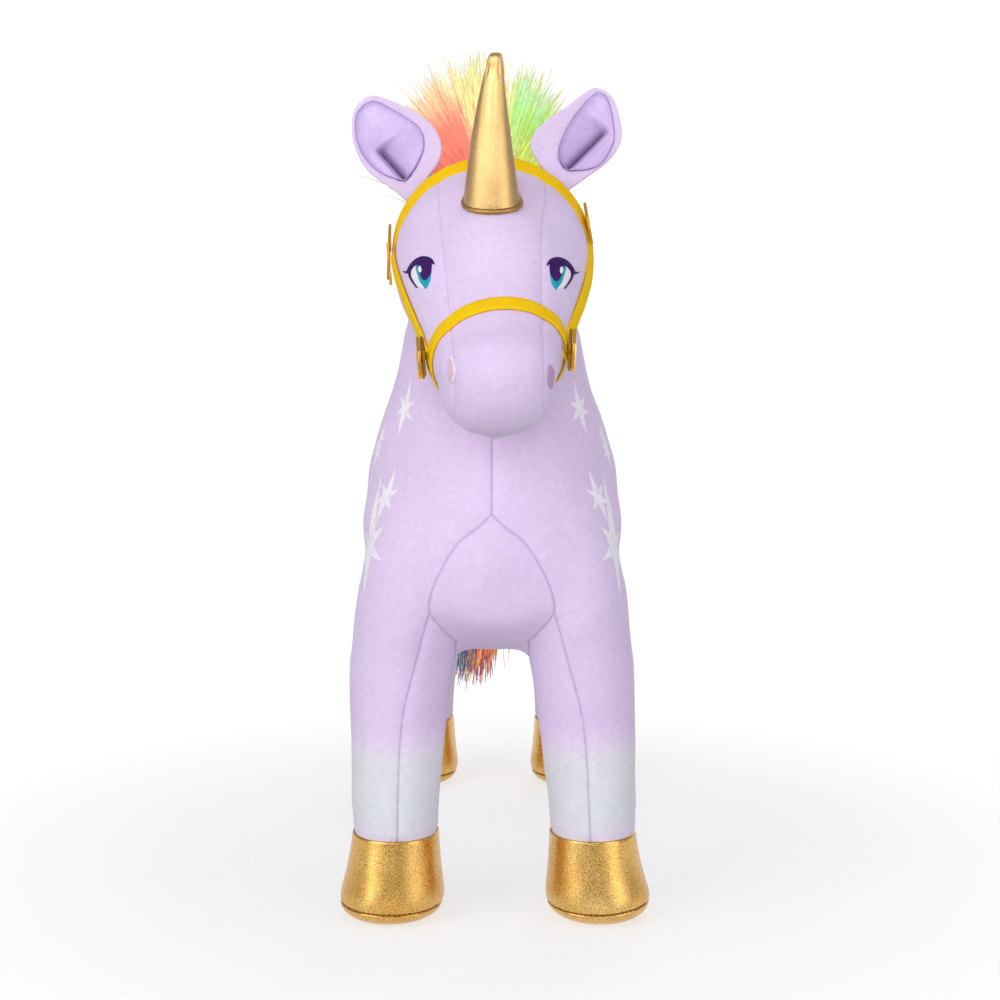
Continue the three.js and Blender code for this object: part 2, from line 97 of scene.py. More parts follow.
def makeLights(plan):
    for name, light in plan.items():
        data = bpy.data.lights.new(name, "AREA")
        data.size = light["size"]
        data.energy = light["power"]
        data.color = light["color"]
        lamp = bpy.data.objects.new(name, data)
        lamp.location = light["at"]
        aim = Vector((0, -0.05, 0.2)) - Vector(light["at"])
        lamp.rotation_euler = aim.to_track_quat("-Z", "Y").to_euler()
        scene.collection.objects.link(lamp)


def addNode(tree, kind, inputs=None, **settings):
    made = tree.nodes.new("ShaderNode" + kind)
    for key, value in settings.items():
        setattr(made, key, value)
    for key, value in (inputs or {}).items():
        if isinstance(value, bpy.types.NodeSocket):
            tree.links.new(value, made.inputs[key])
        else:
            made.inputs[key].default_value = value
    return made


def makeWorld():
    world = bpy.data.worlds.new("studio")
    world.use_nodes = True
    tree = world.node_tree
    tree.nodes.clear()
    seen = addNode(tree, "Background", {"Color": (1, 1, 1, 1), "Strength": 1.05})
    around = addNode(tree, "Background", {"Color": (0.93, 0.95, 1, 1), "Strength": 0.39})
    path = addNode(tree, "LightPath")
    mixed = addNode(tree, "MixShader", {0: path.outputs["Is Camera Ray"], 1: around.outputs[0],
                                        2: seen.outputs[0]})
    addNode(tree, "OutputWorld", {"Surface": mixed.outputs[0]})
    scene.world = world
    scene.view_settings.view_transform = "Standard"


# material helpers
def startMaterial(name, **sockets):
    material = bpy.data.materials.new(name)
    material.use_nodes = True
    tree = material.node_tree
    tree.nodes.clear()
    shader = addNode(tree, "BsdfPrincipled")
    for key, value in sockets.items():
        shader.inputs[key.replace("_", " ")].default_value = value
    addNode(tree, "OutputMaterial", {"Surface": shader.outputs[0]})
    return material, tree, shader


def blendColors(tree, factor, first, second, how="MIX"):
    made = addNode(tree, "Mix", data_type="RGBA", blend_type=how)
    for index, value in ((0, factor), (6, first), (7, second)):
        if isinstance(value, bpy.types.NodeSocket):
            tree.links.new(value, made.inputs[index])
        else:
            made.inputs[index].default_value = value
    return made.outputs[2]


def math2(tree, how, first, second=0.0, clamp=False):
    return addNode(tree, "Math", {0: first, 1: second}, operation=how, use_clamp=clamp).outputs[0]


def ramp(tree, factor, stops, smooth="LINEAR"):
    made = addNode(tree, "ValToRGB", {"Fac": factor})
    made.color_ramp.interpolation = smooth
    elements = made.color_ramp.elements
    while len(elements) < len(stops):
        elements.new(0.5)
    for element, (at, color) in zip(elements, stops):
        element.position = at
        element.color = color
    return made.outputs["Color"]


def noiseAt(tree, coords, scale, detail=3.0, rough=0.55):
    made = addNode(tree, "TexNoise", {"Vector": coords, "Scale": scale, "Detail": detail, "Roughness": rough})
    return made.outputs["Fac"]


def grey(value):
    return (value, value, value, 1)


def bumpFrom(tree, shader, height, strength, distance):
    bump = addNode(tree, "Bump", {"Height": height, "Strength": strength, "Distance": distance})
    tree.links.new(bump.outputs[0], shader.inputs["Normal"])


# finished pieces
def meshObject(name, mesh):
    made = bpy.data.objects.new(name, mesh)
    scene.collection.objects.link(made)
    return made


def shapeObject(name, bm, material, smooth=True):
    mesh = bpy.data.meshes.new(name)
    bm.to_mesh(mesh)
    bm.free()
    mesh.materials.append(material)
    for face in mesh.polygons:
        face.use_smooth = smooth
    return meshObject(name, mesh)


def finalMesh(made, name=None):
    graph = bpy.context.evaluated_depsgraph_get()
    mesh = bpy.data.meshes.new_from_object(made.evaluated_get(graph))
    made.modifiers.clear()
    made.data = mesh
    if name:
        made.name = name
    return made


def subdivided(made, levels, simple=False):
    modifier = made.modifiers.new("finer", "SUBSURF")
    modifier.levels = levels
    modifier.render_levels = levels
    modifier.subdivision_type = "SIMPLE" if simple else "CATMULL_CLARK"
    return finalMesh(made)


def settle(made, body, slotName, *nodes):
    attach(made, body)
    if nodes:
        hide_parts(*nodes)
    return made


floorPlan = {
    "size": 6,  # metres each way
    "paper": [(0.3, grey(0.95)), (0.7, grey(0.97))],
    "bounce": grey(0.55),  # how pale the paper is to the light that it throws back on the toy
    "even": [(0.12, grey(0.62)), (0.38, grey(1))],  # metres away, and how evenly the paper is lit there
    "glow": 1.02,
    "glowHeld": 0.6,  # the part of the glow that doesn't reach the toy
}


def makeFloor():
    material, tree, shader = startMaterial("floorPaper", Roughness=0.9)
    shader.inputs["Specular IOR Level"].default_value = 0.1
    coords = addNode(tree, "TexCoord").outputs["Object"]
    shade = ramp(tree, noiseAt(tree, coords, 3), floorPlan["paper"])
    # the paper throws less light back on the toy than it shows itself
    soft = addNode(tree, "LightPath").outputs["Is Diffuse Ray"]
    tree.links.new(blendColors(tree, soft, shade, floorPlan["bounce"]), shader.inputs["Base Color"])
    # the sweep of paper is lit evenly beyond the toy's own shadow
    away = addNode(tree, "VectorMath", {0: coords}, operation="LENGTH").outputs["Value"]
    far = ramp(tree, away, floorPlan["even"], "EASE")
    glow = math2(tree, "SUBTRACT", floorPlan["glow"], math2(tree, "MULTIPLY", soft, floorPlan["glowHeld"]))
    lit = addNode(tree, "Emission", {"Color": (1, 1, 1, 1), "Strength": glow})
    both = addNode(tree, "MixShader", {0: far, 1: shader.outputs[0], 2: lit.outputs[0]})
    output = next(n for n in tree.nodes if n.type == "OUTPUT_MATERIAL")
    tree.links.new(both.outputs[0], output.inputs["Surface"])
    bm = bmesh.new()
    bmesh.ops.create_grid(bm, x_segments=4, y_segments=4, size=floorPlan["size"])
    floor = shapeObject("floor", bm, material)


# Dark and bright boards that only show in polished gold: middle, half width, half height, glow.
boardPlan = {
    "dark": ((0, -0.50, 0.07), 0.16, 0.13, 0.01),
    "brightLeft": ((-0.42, -0.40, 0.16), 0.07, 0.20, 3.0),
    "brightRight": ((0.42, -0.40, 0.16), 0.07, 0.20, 2.6),
}


def makeBoards():
    for name, (at, wide, tall, glow) in boardPlan.items():
        material = bpy.data.materials.new(name + "Board")
        material.use_nodes = True
        tree = material.node_tree
        tree.nodes.clear()
        lit = addNode(tree, "Emission", {"Color": (1, 0.96, 0.9, 1), "Strength": glow})
        addNode(tree, "OutputMaterial", {"Surface": lit.outputs[0]})
        bm = bmesh.new()
        bmesh.ops.create_grid(bm, x_segments=1, y_segments=1, size=1)
        aim = (Vector((0, -0.1, 0.2)) - Vector(at)).to_track_quat("Z", "Y").to_matrix().to_4x4()
        bm.transform(Matrix.Translation(at) @ aim @ Matrix.Diagonal((wide, tall, 1, 1)))
        board = shapeObject(name + "Board", bm, material)
        board.visible_camera = False
        board.visible_diffuse = False
        board.visible_shadow = False
        board.visible_transmission = False


makeCamera(cameraPlan)
makeLights(lightPlan)
makeWorld()
makeFloor()
makeBoards()
print("stage: camera, lights and floor")


# velour skin
def onSkin(start, heading):
    hit, normal = surface.ray_cast(Vector(start), Vector(heading))[:2]
    return hit, normal


skinPlan = {
    "voxel": 4 * mm,
    "smoothing": 14,
    "grow": 2.3 * mm,
    "pressure": 4.0,
    "cap": 2.2 * mm,  # the most that the filling pushes a point out
    "pinned": 5 * mm,  # cloth this near a seam is held by it
    "hoofTop": 36.5 * mm,
    "fine": 3.2 * mm,  # cloth this near a seam gets a finer mesh
}
# Soft wads that fill the hollows between the stuffed forms: centre and half sizes.
wads = {
    "throat": ((0, -113, 241), (27, 17, 15)),
    "withers": ((0, -24, 205), (27, 34, 20)),
    "nape": ((0, -56, 272), (30, 20, 34)),
    "croup": ((0, 150, 182), (38, 22, 30)),
    "brow": ((0, -130, 285), (27, 25, 23)),
    "cheeks": ((0, -152, 249), (27, 26, 21)),
    "muzzle": ((0, -168, 231), (20.5, 22, 15)),
    "nose": ((0, -172, 243), (23, 20, 12)),
    "shoulders": ((0, -82, 173), (56.2, 42, 40)),
}
widePlan = {"reach": 2.4, "below": 115}  # its left front leg stands this much further out at the floor
lookPlan = {"share": 0.045, "from": 115, "low": 195, "high": 215}  # the head looks a little to its left


def skinStart():
    bm = bmesh.new()
    fills = ["torso_fill", "neck_fill", "head_fill"] + ["leg_fill_" + leg for leg in legNames]
    for node in fills:
        bm.from_mesh(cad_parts[node].data)
    for centre, half in wads.values():
        place = Matrix.Translation(Vector(centre) * mm) @ Matrix.Diagonal((*half, 1000)) * mm
        bmesh.ops.create_uvsphere(bm, u_segments=24, v_segments=16, radius=1, matrix=place)
    bmesh.ops.remove_doubles(bm, verts=bm.verts, dist=0.01 * mm)
    mesh = bpy.data.meshes.new("plush_skin")
    bm.to_mesh(mesh)
    bm.free()
    made = meshObject("plush_skin", mesh)
    remesh = made.modifiers.new("one cloth", "REMESH")
    remesh.mode = "VOXEL"
    remesh.voxel_size = skinPlan["voxel"]
    soften = made.modifiers.new("soften", "SMOOTH")
    soften.iterations = skinPlan["smoothing"]
    soften.factor = 0.5
    return finalMesh(made)


def grown(made, amount):
    bm = bmesh.new()
    bm.from_mesh(made.data)
    bm.normal_update()
    for vert in bm.verts:
        vert.co += vert.normal * amount
    bm.to_mesh(made.data)
    bm.free()


def stance(z):
    return widePlan["reach"] * max(0.0, min(1.0, 1 - z / widePlan["below"]))


def looking(p):
    # a point in millimetres, moved sideways by as much as the muzzle is
    rise = max(0.0, min(1.0, (p.z - lookPlan["low"]) / (lookPlan["high"] - lookPlan["low"])))
    wide = stance(p.z) * max(0.0, min(1.0, (p.x - 8) / 14)) * (1 if p.y < 0 else 0)
    return Vector((p.x + lookPlan["share"] * rise * max(0.0, -p.y - lookPlan["from"]) + wide, p.y, p.z))


def turnedFace(made):
    for vert in made.data.vertices:
        vert.co = looking(vert.co / mm) * mm


def surfaceOf(made):
    bm = bmesh.new()
    bm.from_mesh(made.data)
    tree = BVHTree.FromBMesh(bm)
    bm.free()
    return tree


def curvePoints(points, steps=14):
    out = []
    padded = [points[0], *points, points[-1]]
    for i in range(len(points) - 1):
        a, b, c, d = (Vector(p) for p in padded[i:i + 4])
        for k in range(steps):
            t = k / steps
            out.append(0.5 * (2 * b + (c - a) * t + (2 * a - 5 * b + 4 * c - d) * t * t
                              + (3 * b - a - 3 * c + d) * t ** 3))
    out.append(Vector(points[-1]))
    return out


# Seams as lines seen from one side: the points are millimetres in the plane across the view.
seamPlan = {
    "chest": {"from": "front", "line": [(0, 181), (6, 175.5), (14, 169), (20.5, 159), (25.3, 148),
                                        (26.2, 139), (21, 131), (15, 123.5)]},
    "foreleg": {"from": "front", "line": [(26.2, 139), (31.5, 119), (37, 98), (39, 84), (40, 67),
                                          (40.8, 36)]},
    "face": {"from": "front", "line": [(23, 326), (21.8, 310), (20.2, 295), (19.2, 280), (18.2, 264),
                                       (17.4, 250), (17, 238), (17.4, 222)]},
    "hindlegBack": {"from": "back", "line": [(9, 190), (18, 172), (24, 150), (30, 124), (37, 98), (40, 67),
                                             (40.8, 36)]},
}


def drift(z):
    # how far the face's middle line has moved sideways at this height
    return max(0.0, min(1.0, (z - 205) / 10)) * max(0.0, min(3.2, (292 - z) * 0.062))


def castLine(tree, line, view, sign):
    found = []
    front = view == "front"
    moved = [(sign * x + drift(z) + (stance(z) if sign > 0 and front else 0), z, 0) for x, z in line]
    heading = Vector((0, 1 if front else -1, 0))
    for p in curvePoints(moved):
        start = Vector((p.x, -400 if front else 400, p.y)) * mm
        hit = tree.ray_cast(start, heading)[0]
        if hit is not None:
            found.append(hit)
    return found


def legInsideLine(tree, node, view, sign):
    # the seam on the far side of a front leg, or the near side of a rear one
    found = []
    centre = middle(node)
    for i in range(30):
        z = (40 + i * 2.6) * mm
        x = sign * (40.6 * mm - 0.00006 * max(0, z / mm - 70) ** 1.1)
        x += stance(z / mm) * mm if sign > 0 and centre.y < 0 else 0
        start = Vector((x, centre.y, z))
        heading = Vector((0, 1 if view == "back" else -1, 0))
        hit = tree.ray_cast(start, heading)[0]
        if hit is not None:
            found.append(hit)
    return found


def planeLine(tree, centres, heading):
    found = []
    for p in curvePoints([(0, y, z) for y, z in centres], 20):
        hit = tree.ray_cast(p * mm, Vector(heading))[0]
        if hit is not None:
            found.append(hit)
    return found


def bellyLine(tree, sign):
    found = []
    for i in range(70):
        y = (-112 + i * 3.6) * mm
        hit = tree.ray_cast(Vector((sign * 15.5 * mm, y, 60 * mm)), Vector((0, 0, 1)))[0]
        if hit is not None and hit.z < 0.14:
            found.append(hit)
    return found


def seamLines(tree):
    lines = {}
    for side, sign in sideSigns.items():
        for name in ("chest", "foreleg", "face", "hindlegBack"):
            plan = seamPlan[name]
            lines[name + side] = castLine(tree, plan["line"], plan["from"], sign)
        lines["forelegBack" + side] = legInsideLine(tree, "leg_fill_front_" + side, "back", sign)
        lines["hindlegFront" + side] = legInsideLine(tree, "leg_fill_rear_" + side, "front", sign)
        lines["belly" + side] = bellyLine(tree, sign)
    inside = [Vector((0, -90, 181 + i * 1.5)) * mm for i in range(24)]
    lines["breast"] = [tree.ray_cast(start, Vector((0, -1, 0)))[0] for start in inside]
    lines["spine"] = planeLine(tree, [(-20, 170), (40, 170), (100, 170), (150, 168)], (0, 0, 1))
    lines["nape"] = planeLine(tree, [(-80, 310), (-86, 280), (-80, 240), (-60, 200)], (0, 0.8, 0.6))
    return lines


def kdOf(points):
    tree = KDTree(len(points))
    for i, p in enumerate(points):
        tree.insert(p, i)
    tree.balance()
    return tree


def dense(lines, step=0.5 * mm):
    out = []
    for line in lines.values():
        for a, b in zip(line, line[1:]):
            if (b - a).length > 12 * mm:
                continue
            count = max(1, int((b - a).length / step))
            out += [a.lerp(b, k / count) for k in range(count)]
    return out


def puffed(made, near):
    group = made.vertex_groups.new(name="held")
    rest = [v.co.copy() for v in made.data.vertices]
    for v in made.data.vertices:
        away = near.find(v.co)[2]
        hold = 1.0 if v.co.z < 44 * mm else max(0.0, 1.0 - away / skinPlan["pinned"])
        group.add([v.index], hold, "REPLACE")
    cloth = made.modifiers.new("filling", "CLOTH")
    cloth.settings.quality = 4
    cloth.settings.mass = 0.25
    cloth.settings.use_pressure = True
    cloth.settings.uniform_pressure_force = skinPlan["pressure"]
    cloth.settings.vertex_group_mass = "held"
    cloth.settings.effector_weights.gravity = 0
    cloth.settings.tension_stiffness = 22
    cloth.settings.compression_stiffness = 22
    for step in range(1, 21):
        scene.frame_set(step)
    finalMesh(made)
    scene.frame_set(1)
    for v, start in zip(made.data.vertices, rest):
        move = v.co - start
        if move.length > skinPlan["cap"]:
            v.co = start + move.normalized() * skinPlan["cap"]
    made.vertex_groups.clear()


def sewn(made, bold, fine):
    bm = bmesh.new()
    bm.from_mesh(made.data)
    whole = [*bm.verts, *bm.edges, *bm.faces]
    cut = bmesh.ops.bisect_plane(bm, geom=whole, plane_co=(0, 0, skinPlan["hoofTop"]), plane_no=(0, 0, -1),
                                 clear_outer=True)
    rims = [e for e in cut["geom_cut"] if isinstance(e, bmesh.types.BMEdge)]
    bmesh.ops.holes_fill(bm, edges=rims, sides=0)

    def away(co):
        return min(bold.find(co)[2], fine.find(co)[2])

    for reach in (skinPlan["fine"], skinPlan["fine"] * 0.5, skinPlan["fine"] * 0.25):
        edges = {e for v in bm.verts if away(v.co) < reach for e in v.link_edges}
        bmesh.ops.subdivide_edges(bm, edges=list(edges), cuts=1, use_grid_fill=True)
    bmesh.ops.triangulate(bm, faces=[f for f in bm.faces if len(f.verts) > 4])
    bm.normal_update()
    dip = bm.verts.layers.float.new("seamDip")
    for v in bm.verts:
        strong, weak = bold.find(v.co)[2] / mm, fine.find(v.co)[2] / mm
        near = min(strong, weak)
        lump = noise.noise(v.co * 60) * 0.35 + noise.noise(v.co * 22) * 0.5
        pucker = 1 + 0.35 * noise.noise(v.co * 260)
        groove = 0.5 * math.exp(-(strong / 0.45) ** 2) + 0.55 * pucker * math.exp(-(strong / 2.8) ** 2)
        groove += 0.22 * math.exp(-(weak / 0.4) ** 2) + 0.28 * pucker * math.exp(-(weak / 2.4) ** 2)
        hoofPinch = 0.9 * math.exp(-((v.co.z / mm - 37.5) / 2.2) ** 2)
        v[dip] = max(math.exp(-(strong / 0.5) ** 2), 0.55 * math.exp(-(weak / 0.4) ** 2))
        v.co += v.normal * (lump * min(1, near / 6) - groove - hoofPinch) * mm
    bm.to_mesh(made.data)
    bm.free()


sparklePlan = {
    "sockets": {"Point": "Vector", "Centre": "Vector", "Above": "Float", "Below": "Float", "Wide": "Float",
                "Tilt": "Float"},
    "crossing": (62, -52),  # degrees from the long ray
    "crossReach": 1.25,
    "crossThin": 0.36,
    "longThin": 0.40,
    "sharpness": 9.0,
}


def sparkleGroup():
    # a printed six-ray sparkle: one long upright ray and two short crossing ones, each a thin diamond
    group = bpy.data.node_groups.new("sparkle", "ShaderNodeTree")
    for name, kind in sparklePlan["sockets"].items():
        group.interface.new_socket(name=name, in_out="INPUT", socket_type="NodeSocket" + kind)
    group.interface.new_socket(name="Mask", in_out="OUTPUT", socket_type="NodeSocketFloat")
    start = group.nodes.new("NodeGroupInput")
    end = group.nodes.new("NodeGroupOutput")
    ends = {0: start.outputs["Point"], 1: start.outputs["Centre"]}
    away = addNode(group, "VectorMath", ends, operation="SUBTRACT").outputs[0]
    best = None
    for angle in (0, *sparklePlan["crossing"]):
        turn = math2(group, "ADD", start.outputs["Tilt"], math.radians(angle))
        spun = addNode(group, "VectorRotate", {"Vector": away, "Angle": turn}, rotation_type="X_AXIS")
        parts = addNode(group, "SeparateXYZ", {0: spun.outputs[0]})
        if angle:
            reach = math2(group, "MULTIPLY", start.outputs["Wide"], sparklePlan["crossReach"])
            thin = math2(group, "MULTIPLY", start.outputs["Wide"], sparklePlan["crossThin"])
        else:
            upper = math2(group, "GREATER_THAN", parts.outputs[2], 0.0)
            lower = math2(group, "SUBTRACT", 1.0, upper)
            reach = math2(group, "ADD", math2(group, "MULTIPLY", upper, start.outputs["Above"]),
                          math2(group, "MULTIPLY", lower, start.outputs["Below"]))
            thin = math2(group, "MULTIPLY", start.outputs["Wide"], sparklePlan["longThin"])
        tall = math2(group, "DIVIDE", math2(group, "ABSOLUTE", parts.outputs[2]), reach)
        wide = math2(group, "DIVIDE", math2(group, "ABSOLUTE", parts.outputs[1]), thin)
        inside = math2(group, "SUBTRACT", 1.0, math2(group, "ADD", tall, wide))
        mask = math2(group, "MULTIPLY", inside, sparklePlan["sharpness"], clamp=True)
        best = mask if best is None else math2(group, "MAXIMUM", best, mask)
    group.links.new(best, end.inputs["Mask"])
    return group


# Printed sparkles on each shoulder: place seen from the front, half heights above and below, half width,
# tilt in degrees.
sparkles = [
    (37.5, 224.5, 14, 13, 6.2, 15),
    (48, 212.5, 7.5, 7.5, 3.6, 15),
    (45.6, 186.6, 13.5, 13.5, 6.6, 13),
    (52.6, 165.3, 33, 23, 11, -7),
    (66, 206, 11, 10, 5, 12),
    (88, 190, 8, 8, 4, 8),
]
# How a place on the shoulder counts along the skin. Past the edge a sparkle lies round the side.
wrapPlan = {"x": 0.62, "y": 0.78, "edge": 54, "round": -0.1}
velourPlan = {
    "roughness": 0.92,
    "sheen": 0.38,
    "sheenTint": (0.93, 0.87, 1, 1),
    "lilac": [(0.3, (0.70, 0.56, 0.82, 1)), (0.7, (0.75, 0.615, 0.865, 1))],
    # the dye above the hooves: how strong it is, and its colour, by height in tenths of a metre
    "fade": [(0.36, grey(0.8)), (0.46, grey(1)), (0.74, grey(1)), (0.88, grey(0))],
    "dyed": [(0.36, (0.75, 0.68, 0.80, 1)), (0.5, (0.71, 0.735, 0.80, 1)), (0.74, (0.73, 0.73, 0.80, 1)),
             (0.86, (0.83, 0.68, 0.90, 1))],
    "print": (0.87, 0.86, 0.92, 1),
    "printFrom": 0.026,  # metres from the middle line
    "seam": (0.42, 0.30, 0.60, 1),
    "seamStrength": 0.55,
    "speckle": [(0.3, grey(0.93)), (0.7, grey(1.05))],
}


def makeVelour(name, withPrint=True):
    plan = velourPlan
    material, tree, shader = startMaterial(name, Roughness=plan["roughness"], Sheen_Weight=plan["sheen"],
                                           Sheen_Roughness=0.45)
    shader.inputs["Sheen Tint"].default_value = plan["sheenTint"]
    shader.inputs["Specular IOR Level"].default_value = 0.12
    coords = addNode(tree, "TexCoord").outputs["Object"]
    parts = addNode(tree, "SeparateXYZ", {0: coords})
    cloud = noiseAt(tree, coords, 24, 2)
    nap = noiseAt(tree, coords, 420, 4, 0.7)
    lilac = ramp(tree, cloud, plan["lilac"])
    if withPrint:
        waver = math2(tree, "MULTIPLY", math2(tree, "SUBTRACT", cloud, 0.5), 0.008)
        height = math2(tree, "MULTIPLY", math2(tree, "ADD", parts.outputs[2], waver), 10.0)
        lilac = blendColors(tree, ramp(tree, height, plan["fade"]), lilac, ramp(tree, height, plan["dyed"]))
        group = sparkleGroup()
        out = math2(tree, "MULTIPLY", math2(tree, "ABSOLUTE", parts.outputs[0]), wrapPlan["x"])
        along = math2(tree, "ADD", out, math2(tree, "MULTIPLY", parts.outputs[1], wrapPlan["y"]))
        apart = addNode(tree, "CombineXYZ", {0: 0.0, 1: along, 2: parts.outputs[2]})
        printed = None
        for x, z, above, below, wide, tilt in sparkles:
            hit = onSkin(Vector((x * mm, -0.4, z * mm)), (0, 1, 0))[0]
            depth = hit.y if hit and x < wrapPlan["edge"] else wrapPlan["round"]
            along = wrapPlan["x"] * x * mm + wrapPlan["y"] * depth
            star = tree.nodes.new("ShaderNodeGroup")
            star.node_tree = group
            tree.links.new(apart.outputs[0], star.inputs["Point"])
            star.inputs["Centre"].default_value = (0, along, z * mm)
            star.inputs["Above"].default_value = above * mm
            star.inputs["Below"].default_value = below * mm
            star.inputs["Wide"].default_value = wide * mm
            star.inputs["Tilt"].default_value = math.radians(-tilt)
            printed = star.outputs[0] if printed is None else math2(tree, "MAXIMUM", printed, star.outputs[0])
        outer = math2(tree, "GREATER_THAN", math2(tree, "ABSOLUTE", parts.outputs[0]), plan["printFrom"])
        printed = math2(tree, "MULTIPLY", printed, outer)
        worn = math2(tree, "MULTIPLY", printed, math2(tree, "MULTIPLY", nap, 1.9, clamp=True))
        lilac = blendColors(tree, worn, lilac, plan["print"])
        dip = addNode(tree, "Attribute", attribute_name="seamDip").outputs["Fac"]
        lilac = blendColors(tree, math2(tree, "MULTIPLY", dip, plan["seamStrength"]), lilac, plan["seam"])
    color = blendColors(tree, 1.0, lilac, ramp(tree, nap, plan["speckle"]), "MULTIPLY")
    tree.links.new(color, shader.inputs["Base Color"])
    fibres = noiseAt(tree, coords, 1900, 3, 0.65)
    height = math2(tree, "ADD", math2(tree, "MULTIPLY", nap, 1.3), fibres)
    bumpFrom(tree, shader, height, 0.35, 0.25 * mm)
    return material


skin = skinStart()
grown(skin, skinPlan["grow"])
turnedFace(skin)
seamNear = kdOf(dense(seamLines(surfaceOf(skin))))
puffed(skin, seamNear)
subdivided(skin, 1)
sewnLines = seamLines(surfaceOf(skin))
fineNames = ("faceleft", "faceright", "spine", "nape")
fineLines = {name: line for name, line in sewnLines.items() if name in fineNames}
boldLines = {name: line for name, line in sewnLines.items() if name not in fineLines}
sewn(skin, kdOf(dense(boldLines)), kdOf(dense(fineLines)))
surface = surfaceOf(skin)
velour = makeVelour("lilacVelour")
skin.data.materials.clear()
skin.data.materials.append(velour)
for face in skin.data.polygons:
    face.use_smooth = True
skinNodes = ["belly_gusset", "torso_fill", "neck_fill", "side_panel_left", "side_panel_right", "face_gusset",
             "head_panel_left", "head_panel_right", "head_fill"]
skinNodes += [kind + leg for kind in ("inner_leg_", "leg_fill_") for leg in legNames]
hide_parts(*skinNodes)
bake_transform(skin)
print("stage: velour skin,", len(skin.data.polygons), "faces")

# shape helpers
def between(table, at, column=1):
    # a smooth curve through the table's rows
    rows = [(row[0], row[column]) for row in table]
    for i in range(len(rows) - 1):
        a, b = rows[i], rows[i + 1]
        if at > b[0] and i < len(rows) - 2:
            continue
        before, after = rows[max(0, i - 1)], rows[min(len(rows) - 1, i + 2)]
        gap = b[0] - a[0]
        t = max(0.0, min(1.0, (at - a[0]) / gap))
        slopeA = (b[1] - before[1]) / (b[0] - before[0]) * gap
        slopeB = (after[1] - a[1]) / (after[0] - a[0]) * gap
        return ((2 * t ** 3 - 3 * t * t + 1) * a[1] + (t ** 3 - 2 * t * t + t) * slopeA
                + (3 * t * t - 2 * t ** 3) * b[1] + (t ** 3 - t * t) * slopeB)
    return rows[-1][1]


def stacked(name, rings, material, closed=False, uvs=None):
    # rings of equal length joined into one closed skin, with flat ends unless it closes on itself
    size = len(rings[0])
    verts = [p for ring in rings for p in ring]
    faces = []
    count = len(rings)
    for i in range(count if closed else count - 1):
        j = (i + 1) % count
        for k in range(size):
            m = (k + 1) % size
            faces.append((i * size + k, i * size + m, j * size + m, j * size + k))
    if not closed:
        faces.append(tuple(range(size - 1, -1, -1)))
        faces.append(tuple((count - 1) * size + k for k in range(size)))
    mesh = bpy.data.meshes.new(name)
    mesh.from_pydata(verts, [], faces)
    if uvs:
        layer = mesh.uv_layers.new(name="UVMap")
        for face in mesh.polygons:
            for loop in face.loop_indices:
                index = mesh.loops[loop].vertex_index
                layer.data[loop].uv = (uvs[index // size], (index % size) / size)
    bm = bmesh.new()
    bm.from_mesh(mesh)
    bmesh.ops.recalc_face_normals(bm, faces=bm.faces)
    bm.to_mesh(mesh)
    bm.free()
    mesh.materials.append(material)
    for face in mesh.polygons:
        face.use_smooth = len(face.vertices) == 4
    return meshObject(name, mesh)


def tubeRings(points, radii, sides):
    rings = []
    for i, p in enumerate(points):
        ahead = (points[min(i + 1, len(points) - 1)] - points[max(i - 1, 0)]).normalized()
        side = ahead.cross(Vector((0.12, 0.2, 0.97))).normalized()
        up = ahead.cross(side)
        rings.append([p + (side * math.cos(2 * math.pi * k / sides) + up * math.sin(2 * math.pi * k / sides))
                      * radii[i] for k in range(sides)])
    return rings


def addTube(bm, points, radii, sides=6):
    rings = [[bm.verts.new(p) for p in ring] for ring in tubeRings(points, radii, sides)]
    for low, high in zip(rings, rings[1:]):
        for k in range(sides):
            m = (k + 1) % sides
            bm.faces.new((low[k], low[m], high[m], high[k]))
    bm.faces.new(rings[0][::-1])
    bm.faces.new(rings[-1])


def stitchesAlong(bm, points, pitch, length, radius, lift):
    # short threads laid over a seam, each a little arch
    travelled, due = 0.0, 0.0
    for a, b in zip(points, points[1:]):
        step = (b[0] - a[0]).length
        while step > 0 and due < travelled + step:
            t = (due - travelled) / step
            centre = a[0].lerp(b[0], t)
            ahead = (b[0] - a[0]).normalized() * length / 2
            out = a[1]
            addTube(bm, [centre - ahead + out * (lift - radius), centre + out * lift,
                         centre + ahead + out * (lift - radius)], [radius * 0.7, radius, radius * 0.7], 5)
            due += pitch
        travelled += step


# gold cloth
def makeGold(name, pale, deep, rough, weave, gritty, knit=None):
    material, tree, shader = startMaterial(name, Metallic=1.0)
    shader.inputs["Specular IOR Level"].default_value = 0.6
    coords = addNode(tree, "TexCoord").outputs["Object"]
    cloud = noiseAt(tree, coords, 45, 3)
    grain = noiseAt(tree, coords, weave, 2, 0.6)
    color = ramp(tree, cloud, [(0.3, deep), (0.7, pale)])
    grit = ramp(tree, grain, [(0.35, grey(gritty)), (0.62, grey(1.05))])
    color = blendColors(tree, 1.0, color, grit, "MULTIPLY")
    tree.links.new(color, shader.inputs["Base Color"])
    roughness = math2(tree, "ADD", math2(tree, "MULTIPLY", grain, 0.26), rough)
    tree.links.new(roughness, shader.inputs["Roughness"])
    height = grain
    if knit:
        uv = addNode(tree, "UVMap").outputs[0]
        along = addNode(tree, "SeparateXYZ", {0: uv})
        rows = math2(tree, "SINE", math2(tree, "MULTIPLY", along.outputs[1], knit * 2 * math.pi))
        height = math2(tree, "ADD", math2(tree, "MULTIPLY", rows, 0.22), math2(tree, "MULTIPLY", grain, 0.7))
    bumpFrom(tree, shader, height, 0.5, 0.16 * mm)
    return material


